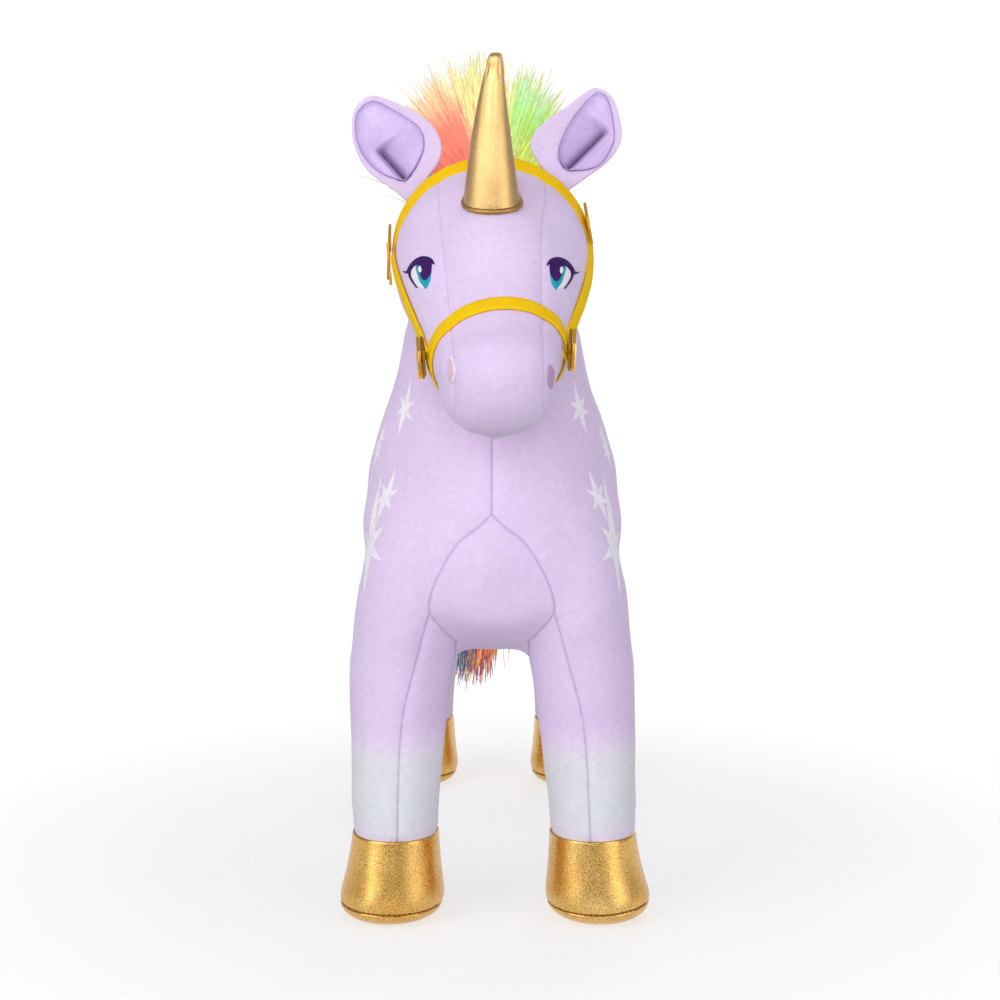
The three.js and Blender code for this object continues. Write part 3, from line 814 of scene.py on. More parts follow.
# weave and knit are how fine the cloth is, gritty is how dark the gaps in its foil are
goldPlan = {
    "goldLame": {"pale": (0.94, 0.60, 0.20, 1), "deep": (0.84, 0.46, 0.10, 1), "rough": 0.11, "weave": 2300,
                 "gritty": 0.45},
    "hornGold": {"pale": (0.80, 0.56, 0.25, 1), "deep": (0.66, 0.42, 0.17, 1), "rough": 0.22, "weave": 1500,
                 "gritty": 0.86, "knit": 90},
    "hemGold": {"pale": (0.62, 0.40, 0.14, 1), "deep": (0.42, 0.24, 0.07, 1), "rough": 0.34, "weave": 1800,
                "gritty": 0.6},
}
lame, hornGold, hemGold = [makeGold(name, **plan) for name, plan in goldPlan.items()]
threadGold, _, threadShader = startMaterial("goldThread", Roughness=0.6)
threadShader.inputs["Base Color"].default_value = (0.42, 0.20, 0.03, 1)

# hooves and soles
hoofPlan = {
    "floorX": 44.4,
    "splay": 0.045,
    "y": {"front": -95, "rear": 137},
    "depth": 1.06,
    "sides": 64,
    "flare": 1.5,
    "wall": [(6.9, 18), (6.92, 21.2), (7.02, 21.85), (7.4, 22.3), (9, 22.6), (12, 22.5), (16, 21.9),
             (22, 20.9), (28, 20.1), (33, 19.5), (36.2, 19.2), (37.6, 19.1), (38.2, 18.7), (38.1, 18.2),
             (36.5, 17.6),
             (33, 17.2)],
    "sole": [(6.6, 18), (6.58, 21.2), (6.48, 21.8), (6.05, 22.1), (4.6, 21.7), (3.0, 20.4), (1.5, 18.2),
             (0.5, 15.6), (0, 12.6), (0, 5)],
}


def hoofRing(sign, y, z, r):
    ring = []
    cx = sign * (hoofPlan["floorX"] - hoofPlan["splay"] * z)
    if sign > 0 and y < 0:
        cx += stance(z)
    for k in range(hoofPlan["sides"]):
        a = 2 * math.pi * k / hoofPlan["sides"]
        outward = max(0.0, math.cos(a) * sign) * math.exp(-(z / 13) ** 2) * hoofPlan["flare"]
        near = math.exp(-((z - 6.8) / 1.6) ** 2)
        pucker = near * (0.16 * math.cos(17 * a + sign) + 0.12 * math.cos(29 * a + y))
        rise = math.exp(-((z - 6.8) / 5) ** 2) * 1.3 * max(0.0, math.cos(a) * sign) * (1 if sign > 0 else 0.3)
        crease = 0.25 * noise.noise(Vector((math.cos(a) * 2, math.sin(a) * 2 + y, z / 7))) * min(1, r / 15)
        rr = r + outward + pucker + crease
        ring.append(Vector((cx + rr * math.cos(a), y + rr * hoofPlan["depth"] * math.sin(a), z + rise)) * mm)
    return ring


for leg in legNames:
    end, side = leg.split("_")
    sign, y = sideSigns[side], hoofPlan["y"][end]
    rings = [hoofRing(sign, y, z, r) for z, r in hoofPlan["wall"]]
    hoof = stacked("hoof_" + leg, rings, lame)
    subdivided(hoof, 1)
    settle(hoof, "trunk", "gold_lame", "hoof_cover_" + leg)
    sole = stacked("sole_pad_" + leg, [hoofRing(sign, y, z, r) for z, r in hoofPlan["sole"]], lame)
    subdivided(sole, 1)
    settle(sole, "trunk", "gold_lame", "sole_" + leg)
    bm = bmesh.new()
    seam = hoofRing(sign, y, 6.75, 21.5)
    centre = sum(seam, Vector()) / len(seam)
    loop = [(p, (p - centre).normalized()) for p in [*seam, seam[0]]]
    stitchesAlong(bm, loop, 2.3 * mm, 1.9 * mm, 0.22 * mm, 0.25 * mm)
    settle(shapeObject("hoof_stitches_" + leg, bm, threadGold), "trunk", "gold_lame")
print("stage: hooves")

# horn
hornPlan = {
    "base": Vector((0, -138.5, 308.5)) * mm,
    "lean": 17,
    "length": 58,
    "sides": 56,
    "rows": 30,
    "hem": 1.0,
    "aside": (0.2, -0.04, 0.00115),  # sideways by height: the horn bows a little
}
hornAxis = Vector((0, -math.sin(math.radians(hornPlan["lean"])), math.cos(math.radians(hornPlan["lean"]))))
hornSide = Vector((1, 0, 0))
hornFront = hornAxis.cross(hornSide)


def hornPoint(angle, height, radius):
    out = hornSide * math.cos(angle) + hornFront * math.sin(angle)
    start, slope, bow = hornPlan["aside"]
    aside = hornSide * (start + slope * height + bow * height * height)
    return hornPlan["base"] + (hornAxis * height + out * radius + aside) * mm


def hornFoot(angle, radius):
    hit = onSkin(hornPoint(angle, 40, radius), -hornAxis)[0]
    return 0.0 if hit is None else (hit - hornPlan["base"]).dot(hornAxis) / mm


def hornRadius(t):
    return 11.5 - 8.9 * t ** 0.95 + 0.5 * math.sin(math.pi * t)


hornAngles = [2 * math.pi * k / hornPlan["sides"] for k in range(hornPlan["sides"])]
bareFeet = [hornFoot(a, 11.3) for a in hornAngles]
meanFoot = sum(bareFeet) / len(bareFeet)
feet = [meanFoot + (foot - meanFoot) * 0.8 + 0.6 for foot in bareFeet]
hornRings = []
for row in range(hornPlan["rows"] + 1):
    t = row / hornPlan["rows"]
    ring = []
    for a, foot in zip(hornAngles, feet):
        height = foot - 2.5 + (hornPlan["length"] - 1.6 - foot + 2.5) * t
        share = max(0.0, height / hornPlan["length"])
        fold = 0.22 * noise.noise(Vector((math.cos(a) * 1.5, math.sin(a) * 1.5, t * 5))) * (1 - t)
        gather = 0.3 * math.cos(9 * a) * math.exp(-((t - 0.93) / 0.035) ** 2)
        pinch = 0.35 * math.exp(-((t - 0.93) / 0.02) ** 2)
        ring.append(hornPoint(a, height, hornRadius(share) + fold + gather - pinch))
    hornRings.append(ring)
for drop, share in ((0.75, 0.9), (0.25, 0.62), (0.0, 0.25)):
    hornRings.append([hornPoint(a, hornPlan["length"] - drop + 0.25 * math.cos(9 * a) * share,
                                2.6 * share) for a in hornAngles])
hornUvs = [row / len(hornRings) for row in range(len(hornRings))]
horn = stacked("horn", hornRings, hornGold, uvs=hornUvs)
subdivided(horn, 1)
settle(horn, "head", "horn_gold", "horn_cover", "horn_fill")
hemPath = [hornPoint(a, foot + 0.2, 11.55) for a, foot in zip(hornAngles, feet)]
hemRings = []
for i, p in enumerate(hemPath):
    ahead = (hemPath[(i + 1) % len(hemPath)] - hemPath[i - 1]).normalized()
    out = (p - hornPlan["base"])
    out = (out - hornAxis * out.dot(hornAxis)).normalized()
    up = ahead.cross(out)
    size = hornPlan["hem"] * (1 + 0.1 * math.sin(i * 1.9)) * mm
    hemRings.append([p + (out * math.cos(2 * math.pi * k / 10) + up * math.sin(2 * math.pi * k / 10)) * size
                     for k in range(10)])
hem = stacked("horn_hem", hemRings, hemGold, closed=True)
settle(hem, "head", "horn_gold")
print("stage: horn")

# ears
earPlan = {
    # foot: where the lining's lower point is; rows are height from it, then reach inwards and outwards
    "left": {
        "foot": (32.3, -97, 325.8), "splay": 21.8, "slit": (9.2, 22.6),
        "outline": [(-9, 5, 3), (-6.5, 6, 4.5), (-3, 11, 6.8), (1, 16.6, 9.2), (4, 18.8, 11.3),
                    (10, 19.2, 14.6), (17, 16, 16.6), (23.4, 11.6, 15.8), (30, 7.8, 12), (34.5, 5, 8.4),
                    (37, 3, 5.4), (38, 1, 2.4)],
        "lining": [(0, 0.5, 0.5), (2, 3.8, 5.4), (4, 5.6, 8.8), (6.5, 6.4, 11.4), (10, 7, 12.8),
                   (16, 6.8, 13.6), (20, 6.2, 13.2), (24, 5.4, 11.6), (30, 3.4, 8.2), (34, 1.6, 5.2),
                   (36, 0.2, 2.6)],
    },
    "right": {
        "foot": (-37.2, -97, 321.4), "splay": 23, "slit": (5.4, 17.4),
        "outline": [(-9, 4, 3), (-6, 5, 4), (-2, 11, 6), (2, 17, 8.4), (9, 20.6, 12.6), (17, 20, 14.3),
                    (24, 16.6, 14), (31, 10.8, 11.8), (36, 6, 8.8), (38.6, 3, 5.6), (39.7, 1, 2.4)],
        "lining": [(0, 0.5, 0.5), (3, 5.5, 4.4), (6.4, 9.6, 7.7), (10, 12.8, 9.9), (15, 14.4, 11.6),
                   (20, 13.6, 12.3), (26, 9.9, 11.6), (31, 6.2, 9.9), (35, 3, 7), (37, 0.6, 3.4)],
    },
    "leanBack": 8,
    "cup": 3.4,
    "thick": 4.6,
    "slitDepth": 5.2,
}


def earRow(side, z, kind="outline"):
    table = earPlan[side][kind]
    return between(table, z, 1), between(table, z, 2)


def cupDepth(side, x, z):
    # x runs outwards from the middle of the ear
    inner, outer = earRow(side, z)
    u = (x - (outer - inner) / 2) / ((outer + inner) / 2)
    top = earPlan[side]["outline"][-1][0]
    bowl = max(0.0, math.sin(math.pi * min(1, max(0, (z + 6) / (top + 6))))) ** 0.6
    return earPlan["cup"] * bowl * (1 - min(1.0, u * u))


def slitShape(side, x, z):
    # how deep the cloth lies in the fold of the slit, and how much painted shade darkens it there: the slit
    # runs up and outwards from the foot
    foot = Vector((0, 0.5))
    run = Vector(earPlan[side]["slit"]) - foot
    along = run.normalized()
    rel = Vector((x, z)) - foot
    t = rel.dot(along) / run.length
    off = rel.y * along.x - rel.x * along.y  # positive towards the middle of the head
    window = max(0.0, 1 - max(0.0, t - 0.9) / 0.17) * min(1.0, max(0.0, t + 0.1) / 0.2)
    window = window * window * (3 - 2 * window)
    if off > 0:
        deep = math.exp(-off / 4.6)
    else:
        deep = math.exp(off / 0.6) - 0.34 * math.exp(-((off + 2.2) / 1.6) ** 2)
    # painted shade: dark is strongest on the slit and fades to both sides; shade is a wider, paler painted
    # shadow on the side towards the middle of the head
    dark = window * (math.exp(-off / 2.1) if off > 0 else math.exp(off / 0.8))
    shade = window * math.exp(-max(0, off) / 7) * 0.4 if off > 0 else 0
    return window * deep * earPlan["slitDepth"], max(dark, shade)


def earPlace(side):
    sign, plan = sideSigns[side], earPlan[side]
    mirror = Matrix.Diagonal((sign, 1, 1, 1))  # x runs outwards on both ears
    return (Matrix.Translation(Vector(plan["foot"]) * mm)
            @ Matrix.Rotation(math.radians(sign * plan["splay"]), 4, "Y")
            @ Matrix.Rotation(math.radians(-earPlan["leanBack"]), 4, "X") @ mirror)


satinPlan = {
    "roughness": 0.36,
    "lilac": [(0.3, (0.57, 0.44, 0.80, 1)), (0.7, (0.68, 0.54, 0.87, 1))],
    # painted shade: the dark violet that the slit in each ear is painted towards
    "fold": (0.062, 0.008, 0.12, 1),
    "speckle": [(0.3, grey(0.9)), (0.7, grey(1.08))],
}


def makeSatin():
    material, tree, shader = startMaterial("lilacSatin", Roughness=satinPlan["roughness"], Sheen_Weight=0.3,
                                           Sheen_Roughness=0.3)
    shader.inputs["Specular IOR Level"].default_value = 0.5
    coords = addNode(tree, "TexCoord").outputs["Object"]
    nap = noiseAt(tree, coords, 700, 4, 0.7)
    cloud = ramp(tree, noiseAt(tree, coords, 60, 2), satinPlan["lilac"])
    # painted shade: the fold attribute darkens the satin along the slit
    dark = addNode(tree, "Attribute", attribute_name="fold").outputs["Fac"]
    slitShaded = blendColors(tree, dark, cloud, satinPlan["fold"])
    speckle = ramp(tree, nap, satinPlan["speckle"])
    tree.links.new(blendColors(tree, 1.0, slitShaded, speckle, "MULTIPLY"), shader.inputs["Base Color"])
    bumpFrom(tree, shader, nap, 0.25, 0.12 * mm)
    return material


satin = makeSatin()
earVelour = makeVelour("earVelour", withPrint=False)
seamThread, _, seamShader = startMaterial("lilacThread", Roughness=0.7)
seamShader.inputs["Base Color"].default_value = (0.30, 0.19, 0.55, 1)


def earLoop(side, z, rows=34):
    plan, place = earPlan[side], earPlace(side)
    inner, outer = earRow(side, z)
    top = plan["outline"][-1][0]
    rim = earPlan["thick"] * 0.5 * min(1.0, (inner + outer) / 16)
    liningTop = plan["lining"][-1][0]
    front, back = [], []
    for k in range(rows + 1):
        a = math.pi * k / rows
        x = -inner + (inner + outer) * (1 - math.cos(a)) / 2
        roll = rim * math.sin(a) ** 0.5 if 0 < k < rows else 0
        depth = cupDepth(side, x, z)
        sunk = 0.0
        if 0 < z < liningTop:
            reachIn, reachOut = earRow(side, z, "lining")
            room = min(x + reachIn, reachOut - x, z, liningTop - z)
            if room > 0:
                deepest = max(slitShape(side, x + step, z)[0] for step in (-1.2, -0.6, 0, 0.6, 1.2))
                sunk = min(1.0, room / 1.6) * (1.5 + deepest)
        front.append(place @ (Vector((x, depth - roll + sunk, z)) * mm))
        bulge = 4.5 * math.sin(a) ** 2 * math.sin(math.pi * min(1, max(0, (z + 9) / (top + 9)))) + 0.7 * sunk
        back.append(place @ (Vector((x, depth + roll + bulge, z)) * mm))
    return front + back[-2:0:-1]


def makeEar(side):
    plan, place = earPlan[side], earPlace(side)
    body = "ear_" + side
    first, last = plan["outline"][0][0], plan["outline"][-1][0]
    count = 40
    levels = [first + (last - first) * math.sin(math.pi / 2 * i / count) for i in range(count)]
    levels += [last - 0.15, last]
    shell = stacked("ear_shell_" + side, [earLoop(side, z) for z in levels], earVelour)
    subdivided(shell, 1)
    settle(shell, body, "velour", "ear_back_" + side)
    rings, foldShade = [], []
    rows, columns = 56, 48
    liningTop = plan["lining"][-1][0]
    for i in range(rows + 1):
        z = liningTop * i / rows
        inner, outer = earRow(side, z, "lining")
        front, back = [], []
        for k in range(columns + 1):
            x = -inner + (inner + outer) * (1 - math.cos(math.pi * k / columns)) / 2
            deep, dark = slitShape(side, x, z)
            room = min(x + inner, outer - x, z, liningTop - z)
            edge = max(0.0, min(1.0, room / 1.5))
            y = cupDepth(side, x, z) - earPlan["thick"] * 0.5 - 0.1 + (0.75 + deep) * edge
            front.append(place @ (Vector((x, y, z)) * mm))
            back.append(place @ (Vector((x, y + 0.5, z)) * mm))
            foldShade.append(dark * edge)
        foldShade += [0.0] * (columns - 1)
        rings.append(front + back[-2:0:-1])
    lining = stacked("ear_satin_" + side, rings, satin)
    # the painted shade along the slit is kept as a point attribute
    layer = lining.data.attributes.new("fold", "FLOAT", "POINT")
    layer.data.foreach_set("value", foldShade)
    subdivided(lining, 1)
    settle(lining, body, "satin", "ear_lining_" + side)
    edgeLine = [ring[0] for ring in rings] + [ring[columns] for ring in reversed(rings)]
    bm = bmesh.new()
    out = place.to_3x3() @ Vector((0, -1, 0))
    stitchesAlong(bm, [(p, out) for p in [*edgeLine, edgeLine[0]]], 1.25 * mm, 1.05 * mm, 0.16 * mm, 0.2 * mm)
    settle(shapeObject("ear_stitches_" + side, bm, seamThread), body, "satin")


for side in sideSigns:
    makeEar(side)
print("stage: ears")

# halter
halterPlan = {
    "width": 6.8,
    "cheekWidth": 5,
    "thick": 0.9,
    "lift": 0.15,
    "tip": 1.0,  # how far the crown strap leans forwards on top of the head
    "noseTop": Vector((0, -172, 270)) * mm,
    "noseChin": Vector((0, -142, 223)) * mm,
    "noseTurn": 9,  # degrees that the noseband is turned towards its left
    "temple": (-108, 294),
    "poll": (-103, 331),
    "cheek": (-160, 246),
    "slack": {"left": (1.1, 2), "right": (0.5, 1)},  # how far each cheek strap bows out, and how sharply
    "face": {"left": 0.7, "right": 0.0},  # how far each cheek strap is twisted to the front
}


def makeRibbon():
    material, tree, shader = startMaterial("yellowRibbon", Roughness=0.7)
    shader.inputs["Specular IOR Level"].default_value = 0.15
    uv = addNode(tree, "SeparateXYZ", {0: addNode(tree, "UVMap").outputs[0]})
    ribs = math2(tree, "SINE", math2(tree, "MULTIPLY", uv.outputs[0], 2 * math.pi / 0.8))
    coords = addNode(tree, "TexCoord").outputs["Object"]
    cloud = noiseAt(tree, coords, 90, 3)
    color = ramp(tree, cloud, [(0.3, (0.95, 0.57, 0.0, 1)), (0.7, (0.98, 0.64, 0.0, 1))])
    depth = math2(tree, "ADD", math2(tree, "MULTIPLY", ribs, 0.5), 0.5)
    # painted shade: the troughs between the ribs are darkened
    shade = ramp(tree, depth, [(0, grey(0.78)), (0.5, grey(1))])
    tree.links.new(blendColors(tree, 1.0, color, shade, "MULTIPLY"), shader.inputs["Base Color"])
    height = math2(tree, "ADD", ribs, noiseAt(tree, coords, 1500, 2))
    bumpFrom(tree, shader, height, 0.5, 0.12 * mm)
    return material


ribbon = makeRibbon()


def ribbonAlong(name, path, width, closed, slack=None):
    # path: points on the skin with the way out of it; the ribbon stands on them
    count = len(path)
    for _ in range(4):
        fresh = []
        for i, (p, n) in enumerate(path):
            a, b = path[(i - 1) % count], path[(i + 1) % count]
            if not closed and i in (0, count - 1):
                fresh.append((p, n))
                continue
            fresh.append(((p * 2 + a[0] + b[0]) / 4, (n * 2 + a[1] + b[1]).normalized()))
        path = fresh
    rings, lengths, total = [], [], 0.0
    for i, (p, n) in enumerate(path):
        a = path[(i - 1) % count][0] if closed or i else p
        b = path[(i + 1) % count][0] if closed or i < count - 1 else p
        ahead = (b - a).normalized()
        across = ahead.cross(n).normalized()
        out = across.cross(ahead)
        base = p + out * (halterPlan["lift"] + (slack(i / (count - 1)) if slack else 0)) * mm
        t = halterPlan["thick"]
        section = [(-0.5, 0), (-0.5, 0.75 * t), (-0.44, t), (-0.2, t * 1.02), (0.2, t * 1.02), (0.44, t),
                   (0.5, 0.75 * t), (0.5, 0), (0.2, 0), (-0.2, 0)]
        rings.append([base + (across * u * width + out * h) * mm for u, h in section])
        if i:
            total += (p - path[i - 1][0]).length / mm
        lengths.append(total)
    made = stacked(name, rings, ribbon, closed=closed, uvs=lengths)
    return made


def planeRing(centre, first, second, turns):
    path = []
    for angle in turns:
        heading = first * math.cos(angle) + second * math.sin(angle)
        hit, normal = onSkin(centre, heading)
        if hit is not None:
            path.append((hit, (normal + heading * 0.4).normalized() if normal.dot(heading) > 0 else heading))
    return path


noseUp = (halterPlan["noseTop"] - halterPlan["noseChin"]).normalized()
noseCentre = (halterPlan["noseTop"] + halterPlan["noseChin"]) / 2 + Vector((0, -1.2, -0.4)) * mm
turns = [2 * math.pi * i / 150 for i in range(150)]
noseTurn = Matrix.Rotation(math.radians(halterPlan["noseTurn"]), 3, "Z")
nosePath = planeRing(noseCentre, noseTurn @ Vector((1, 0, 0)), noseTurn @ noseUp, turns)
settle(ribbonAlong("halter_noseband", nosePath, halterPlan["width"], True), "head", "ribbon", "noseband")
crownLow, crownTop = [Vector((0, *halterPlan[k])) * mm for k in ("temple", "poll")]
crownUp = (crownTop - crownLow).normalized()
turns = [math.radians(-4 + 188 * i / 110) for i in range(111)]
crownPath = []
for p, n in planeRing(crownLow, Vector((1, 0, 0)), crownUp, turns):
    tip = halterPlan["tip"] * max(0.0, n.z)
    crownPath.append((p + n * tip * 1.6 * mm, (n + Vector((0, -tip, 0))).normalized()))
settle(ribbonAlong("halter_crown", crownPath, halterPlan["width"], False), "head", "ribbon", "crown_strap")
for side, sign in sideSigns.items():
    path = []
    for i in range(60):
        t = i / 59
        y, z = [a + (b - a) * t for a, b in zip(halterPlan["temple"], halterPlan["cheek"])]
        hit, normal = onSkin(Vector((sign * 80, y, z)) * mm, (-sign, 0, 0))
        if hit is not None:
            path.append((hit, (normal + Vector((0, -halterPlan["face"][side], 0))).normalized()))
    out, power = halterPlan["slack"][side]
    strap = ribbonAlong("halter_cheek_" + side, path, halterPlan["cheekWidth"], False,
                        slack=lambda t: out * math.sin(math.pi * t) ** power)
    settle(strap, "head", "ribbon", "cheek_strap_" + side)

starPlan = {
    "temple_left": {"side": "left", "y": -108, "z": 300, "size": 20, "off": 1.4, "tilt": 4},
    "temple_right": {"side": "right", "y": -108, "z": 288, "size": 26, "off": 1.4, "tilt": 2},
    "cheek_left": {"side": "left", "y": -158, "z": 248, "size": 17, "off": 1.5, "tilt": 6, "layers": 2},
    "cheek_right": {"side": "right", "y": -158, "z": 245, "size": 17, "off": 1.5, "tilt": 18, "layers": 2},
    "thick": 1.3,
}


def starOutline(size):
    points = []
    for i in range(5):
        for reach, turn in ((0.55 if i == 0 else 0.5, 0), (0.22, 36)):
            a = math.radians(90 + i * 72 + turn)
            points.append((math.cos(a) * reach * size, math.sin(a) * reach * size))
    return points


def starPlateAt(name, plan, material, off):
    # a bevelled star lying against the cheek, its point up
    sign = sideSigns[plan["side"]]
    hit, normal = onSkin(Vector((sign * 90, plan["y"], plan["z"])) * mm, (-sign, 0, 0))
    out = (normal + Vector((sign * 1.2, 0, 0))).normalized()
    up = Vector((sign * math.sin(math.radians(plan["tilt"])), 0.1, 1))
    up = (up - out * up.dot(out)).normalized()
    side = up.cross(out)
    rings = []
    for share, rise in ((0.93, 0), (1, 0.2), (1, starPlan["thick"] - 0.2), (0.9, starPlan["thick"])):
        rings.append([hit + (out * (off + rise) + side * x * share + up * z * share) * mm
                      for x, z in starOutline(plan["size"])])
    made = stacked(name, rings, material)
    for face in made.data.polygons:
        face.use_smooth = False
    return made


starGold, _, starShader = startMaterial("starPlate", Metallic=1.0, Roughness=0.3)
starShader.inputs["Base Color"].default_value = (0.93, 0.52, 0.04, 1)
starDark, _, darkShader = startMaterial("starPlateInner", Metallic=1.0, Roughness=0.38)
darkShader.inputs["Base Color"].default_value = (0.42, 0.22, 0.05, 1)
for place, sides in (("temple", ("left", "right")), ("cheek", ("left", "right"))):
    for side in sides:
        plan = starPlan[place + "_" + side]
        if plan.get("layers"):
            inner = starPlateAt("star_inner_" + side, plan, starDark, plan["off"])
            settle(inner, "head", "star_plate", "cheek_star_inner_" + side)
            outer = starPlateAt("star_outer_" + side, plan, starGold, plan["off"] + starPlan["thick"] + 0.25)
            settle(outer, "head", "star_plate", "cheek_star_outer_" + side)
        else:
            made = starPlateAt("star_temple_" + side, plan, starGold, plan["off"])
            settle(made, "head", "star_plate", "temple_star_" + side)
print("stage: halter")

# embroidery
eyePlan = {
    "centre": {"left": (27.6, 279.2), "right": (29.9, 279.8)},
    # each patch: outline in millimetres from the eye's middle, outer corner at -x, and how proud it lies
    "white": {"lift": 0.30, "outline": [(-3.4, 1.2), (-2.2, 2.6), (-0.4, 3.6), (1.6, 3.0), (2.0, 0),
                                        (2.6, -3.6), (2.4, -6.2), (1.0, -6.2), (-0.8, -5.4), (-2.4, -3.2),
                                        (-3.4, -1.0)]},
    "iris": {"lift": 0.50, "outline": [(-1.3, 3.2), (0.8, 4.2), (3.6, 3.6), (5.1, 1.4), (5.2, -1.6),
                                       (4.6, -4.4), (3.1, -6.7), (1.9, -5.6), (0.6, -3.8), (-0.5, -0.8),
                                       (-1.2, 1.4)]},
    "pupil": {"lift": 0.70, "outline": [(-0.5, 3.4), (0.6, 5.3), (2.8, 5.9), (4.8, 4.9), (5.4, 2.8),
                                        (5.3, 0.2), (4.9, -2.2), (3.2, -3.9), (1.7, -3.0), (0.7, -1.0),
                                        (-0.1, 1.2)]},
    "glint": {"lift": 0.95, "outline": [(0.2, 1.3), (0.4, 2.2), (0.9, 2.7), (1.4, 2.2), (1.7, 1.1),
                                        (1.6, 0.1), (1.1, -0.4), (0.5, 0.2)]},
    "lid": {"lift": 0.90, "line": [(-4.4, 0.9), (-3.2, 2.8), (-1.1, 4.6), (1.6, 5.4), (4.2, 4.9), (5.6, 4.0),
                                   (6.5, 2.9)],
            "widths": [1.2, 1.7, 2.3, 2.5, 2.2, 1.3, 0.25]},
    "lash": {"lift": 0.85, "line": [(-6.7, 1.2), (-5.5, 0.7), (-4.2, 0.9), (-3.4, 1.8)],
             "widths": [0.2, 0.9, 1.7, 1.2]},
    "under": {"lift": 0.60, "line": [(-4.0, 1.2), (-3.7, -1.1), (-2.3, -3.6), (-0.5, -6.1)],
              "widths": [1.1, 1.0, 0.9, 0.25]},
}


def makeThread(name, color, angle, pitch=0.42):
    material, tree, shader = startMaterial(name, Roughness=0.5)
    shader.inputs["Specular IOR Level"].default_value = 0.22
    coords = addNode(tree, "TexCoord").outputs["Object"]
    turn = {"Vector": coords, "Angle": math.radians(angle)}
    spun = addNode(tree, "VectorRotate", turn, rotation_type="Y_AXIS")
    across = addNode(tree, "SeparateXYZ", {0: spun.outputs[0]}).outputs[0]
    waver = math2(tree, "MULTIPLY", noiseAt(tree, coords, 300, 2), 2.0)
    count = math2(tree, "MULTIPLY", across, 2 * math.pi / (pitch * mm))
    threads = math2(tree, "SINE", math2(tree, "ADD", count, waver))
    depth = math2(tree, "ADD", math2(tree, "MULTIPLY", threads, 0.5), 0.5)
    # painted shade darkens the grooves between the stitched threads, and painted light brightens their tops
    shade = ramp(tree, depth, [(0, grey(0.7)), (0.6, grey(1.1))])
    tree.links.new(blendColors(tree, 1.0, color, shade, "MULTIPLY"), shader.inputs["Base Color"])
    bumpFrom(tree, shader, threads, 0.5, 0.1 * mm)
    return material


eyeThreads = {
    "white": makeThread("whiteThread", (0.88, 0.87, 0.92, 1), 20),
    "iris": makeThread("tealThread", (0.0, 0.40, 0.52, 1), 75),
    "pupil": makeThread("violetThread", (0.040, 0.001, 0.115, 1), 12),
}
eyeThreads["glint"] = eyeThreads["white"]
eyeThreads["lid"] = eyeThreads["lash"] = eyeThreads["under"] = eyeThreads["pupil"]


def facing(x, z):
    hit, normal = onSkin(Vector((x * mm, -0.4, z * mm)), (0, 1, 0))
    return hit, normal


def shift(centre):
    # the embroidery follows the turned face
    return min(3.2, drift(centre[1]))


def patch(name, outline, centre, sign, lift, material):
    # a raised patch of thread: rings that shrink to its middle, over the skin, closed behind
    points = curvePoints([(x, z, 0) for x, z in [*outline, outline[0]]], 5)[:-1]
    mid = sum(points, Vector()) / len(points)
    rings = []
    for share, rise in ((1, -0.6), (1, 0.0), (0.93, 0.75), (0.8, 1), (0.6, 1), (0.4, 1), (0.2, 1), (0.04, 1)):
        ring = []
        for p in points:
            q = mid + (p - mid) * share
            hit, normal = facing(sign * centre[0] + shift(centre) - sign * q.x, centre[1] + q.y)
            ring.append(hit + normal * lift * rise * mm)
        rings.append(ring)
    return stacked(name, rings, material)


# a satin-stitched band's section: across it, and how far it stands up
bandSection = [(-1, -0.5), (-1, 0.2), (-0.6, 0.9), (0, 1), (0.6, 0.9), (1, 0.2), (1, -0.5), (0, -0.5)]


def threadBand(name, line, widths, centre, sign, lift, material):
    points = curvePoints([(x, z, 0) for x, z in line], 6)
    rings = []
    for i, p in enumerate(points):
        t = i / (len(points) - 1)
        ahead = (points[min(i + 1, len(points) - 1)] - points[max(i - 1, 0)]).normalized()
        across = Vector((-ahead.y, ahead.x, 0))
        half = between([(k / (len(widths) - 1), w) for k, w in enumerate(widths)], t) / 2
        ring = []
        for u, rise in bandSection:
            q = p + across * u * half
            hit, normal = facing(sign * centre[0] + shift(centre) - sign * q.x, centre[1] + q.y)
            ring.append(hit + normal * lift * rise * mm)
        rings.append(ring)
    return stacked(name, rings, material)


for side, sign in sideSigns.items():
    centre = eyePlan["centre"][side]
    for part in ("white", "iris", "pupil", "glint"):
        plan = eyePlan[part]
        made = patch("eye_" + part + "_" + side, plan["outline"], centre, sign, plan["lift"],
                     eyeThreads[part])
        settle(made, "head", "eye_thread", "eye_embroidery_" + side)
    for part in ("lid", "lash", "under"):
        plan = eyePlan[part]
        made = threadBand("eye_" + part + "_" + side, plan["line"], plan["widths"], centre, sign,
                          plan["lift"], eyeThreads[part])
        settle(made, "head", "eye_thread")

nosePlan = {
    "centre": {"left": (19.4, 238.4), "right": (18.2, 241)},
    "oval": [(-1.3, 0), (-1.1, 2.6), (-0.3, 4.4), (0.7, 4.6), (1.3, 2.6), (1.4, 0), (1.1, -2.8), (0.3, -4.6),
             (-0.6, -4.2), (-1.2, -2.4)],
    # the edge is a painted highlight along one side of the right nostril
    "edge": [(-0.6, 4.4), (0.5, 4.2), (1.1, 2.0), (1.4, -0.8), (1.0, -3.6), (0, -4.8)],
    "edgeWidths": [0.3, 0.9, 0.8, 0.7, 0.9, 0.3],
    "lift": 0.45,
}
# painted light and shade: both nostrils are one mauve thread in two tones, the left painted darker as shaded
# and the right painted lighter as lit
noseThreads = {"left": makeThread("noseThreadShaded", (0.56, 0.34, 0.55, 1), 90),
               "right": makeThread("noseThreadLit", (0.74, 0.53, 0.68, 1), 90)}
for side, sign in sideSigns.items():
    made = patch("nostril_" + side, nosePlan["oval"], nosePlan["centre"][side], sign, nosePlan["lift"],
                 noseThreads[side])
    settle(made, "head", "nose_thread", "nostril_embroidery_" + side)
